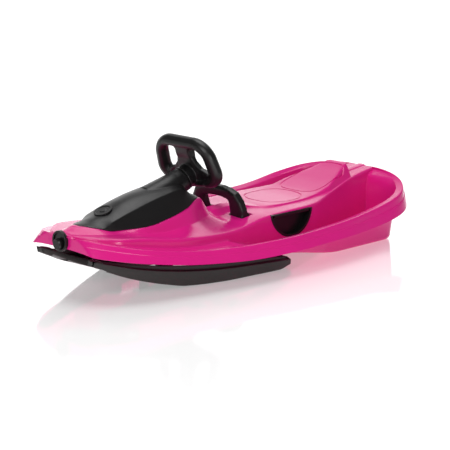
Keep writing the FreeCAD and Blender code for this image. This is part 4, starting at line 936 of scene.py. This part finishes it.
def plated(name):
    # Zinc plated steel with streaks in the shine
    finish = Finish(name)
    where = finish.node("ShaderNodeTexCoord", output=3)
    streak = finish.node("ShaderNodeTexNoise", Vector=where, Scale=300.0, Detail=3.0)
    finish.set(Roughness=0.28 + streak * 0.18)
    finish.surface.inputs["Base Color"].default_value = (0.34, 0.34, 0.35, 1)
    finish.surface.inputs["Metallic"].default_value = 1.0
    bump = finish.node("ShaderNodeBump", Strength=0.15, Distance=0.05 * MM, Height=streak)
    finish.set(Normal=bump)
    return finish.material


STEEL = plated("zinc_steel")
SLOTS = {
    "hull_plastic": PINK,
    "black_plastic": BLACK,
    "badge_plastic": BLACK,
    "ski_plastic": SKI_BLACK,
    "nylon": NYLON_PAINTED_SHADE,
    "steel": STEEL,
    "cord": CORD,
}


def dress(item, material):
    # Gives a piece its only material
    item.data.materials.clear()
    item.data.materials.append(material)


for part in frame["record"]["subparts"]:
    node = frame["nodes"][part["node"]]
    dress(node, SLOTS[part["material_slot"]])
for material, items in ((PINK, (hull, hull_ribs)), (BLACK, (cover, wheel, lever, disc)), (CORD, (rope,)),
                        (SKI_BLACK, trays)):
    for item in items:
        dress(item, material)


# Studio

# Corners of the floor and the wall in metres
FLOOR = [(-12, -12, 0), (12, -12, 0), (12, 12, 0), (-12, 12, 0)]
WALL = [(-9, -1, -0.1), (-1, -9, -0.1), (-1, -9, 6), (-9, -1, 6)]
FLOOR_Z, FLOOR_GLOW, WALL_GLOW, WORLD_GLOW = -0.0006, 0.30, 1.0, 0.16
# Half sizes in metres of the oval below the sled in which the floor mirrors more
SHEEN_LONG, SHEEN_WIDE = 0.62, 0.30


def lit(finish, grey, strength):
    # Plain grey with a white glow
    finish.surface.inputs["Base Color"].default_value = (grey, grey, grey, 1)
    finish.surface.inputs["Emission Color"].default_value = (1, 1, 1, 1)
    finish.surface.inputs["Emission Strength"].default_value = strength
    return finish.material


floor = new_object("studio_floor", FLOOR, [(0, 1, 2, 3)], scale=1.0)
floor.location.z = FLOOR_Z
pale = Finish("pale_floor")
where = pale.node("ShaderNodeTexCoord", output=3)
speck = pale.node("ShaderNodeTexNoise", Vector=where, Scale=40.0, Detail=2.0)
reach = pale.node("ShaderNodeVectorMath", {"operation": "MULTIPLY"}, Vector=where)
reach.socket.node.inputs[1].default_value = (1 / SHEEN_LONG, 1 / SHEEN_WIDE, 0)
far = pale.node("ShaderNodeVectorMath", {"operation": "LENGTH"}, output=1, Vector=reach)
sheen = pale.node("ShaderNodeMapRange", {"interpolation_type": "SMOOTHSTEP"}, Value=far,
                  From_Min=0.8, From_Max=1.8, To_Min=0.36, To_Max=0.04)
pale.set(Roughness=0.05 + speck * 0.04, Metallic=sheen)
dress(floor, lit(pale, 0.95, FLOOR_GLOW))

backdrop = new_object("studio_wall", WALL, [(0, 1, 2, 3)], scale=1.0)
glow = Finish("wall_glow")
where = glow.node("ShaderNodeTexCoord", output=3)
cloud = glow.node("ShaderNodeTexNoise", Vector=where, Scale=0.3, Detail=1.0)
glow.set(Roughness=0.8 + cloud * 0.1)
dress(backdrop, lit(glow, 0.8, WALL_GLOW))

world = bpy.data.worlds.new("studio")
bpy.context.scene.world = world
world.use_nodes = True
sky = world.node_tree.nodes["Background"].inputs
sky["Color"].default_value = (1, 1, 1, 1)
sky["Strength"].default_value = WORLD_GLOW


def lamp(name, place, aim, size, power):
    # Round area lamp that points at the aim
    light = bpy.data.lights.new(name, "AREA")
    light.shape = "DISK"
    light.size = size
    light.energy = power
    item = bpy.data.objects.new(name, light)
    item.location = place
    item.rotation_euler = (Vector(aim) - Vector(place)).to_track_quat("-Z", "Y").to_euler()
    bpy.context.scene.collection.objects.link(item)


lamp("overhead", (-0.3, -0.3, 3.4), (0, 0, 0), size=2.6, power=66)
lamp("key", (3.2, 1.6, 2.2), (0, 0, 0.15), size=1.4, power=46)
lamp("low_fill", (1.9, 3.6, 0.6), (0, 0, 0.1), size=1.2, power=34)

# Camera at the photograph's angle

VIEW_TURN, VIEW_RISE, VIEW_FAR = math.radians(45.76), math.radians(14.06), 5.0
# Photo's width, and the camera's focal length and middle in its pixels
PHOTO, FOCAL, MIDDLE_X, MIDDLE_Y, SENSOR = 450.0, 1754.0, 222.2, 257.4, 36.0
level = math.cos(VIEW_RISE)
eye = Vector((level * math.cos(VIEW_TURN), level * math.sin(VIEW_TURN), math.sin(VIEW_RISE)))
camera = bpy.data.objects.new("camera", bpy.data.cameras.new("camera"))
camera.location = eye * VIEW_FAR
camera.rotation_euler = (-eye).to_track_quat("-Z", "Y").to_euler()
camera.data.sensor_width = SENSOR
camera.data.lens = SENSOR * FOCAL / PHOTO
camera.data.shift_x = (PHOTO / 2 - MIDDLE_X) / PHOTO
camera.data.shift_y = (MIDDLE_Y - PHOTO / 2) / PHOTO
bpy.context.scene.collection.objects.link(camera)
bpy.context.scene.camera = camera
bpy.context.scene.view_settings.view_transform = "Standard"
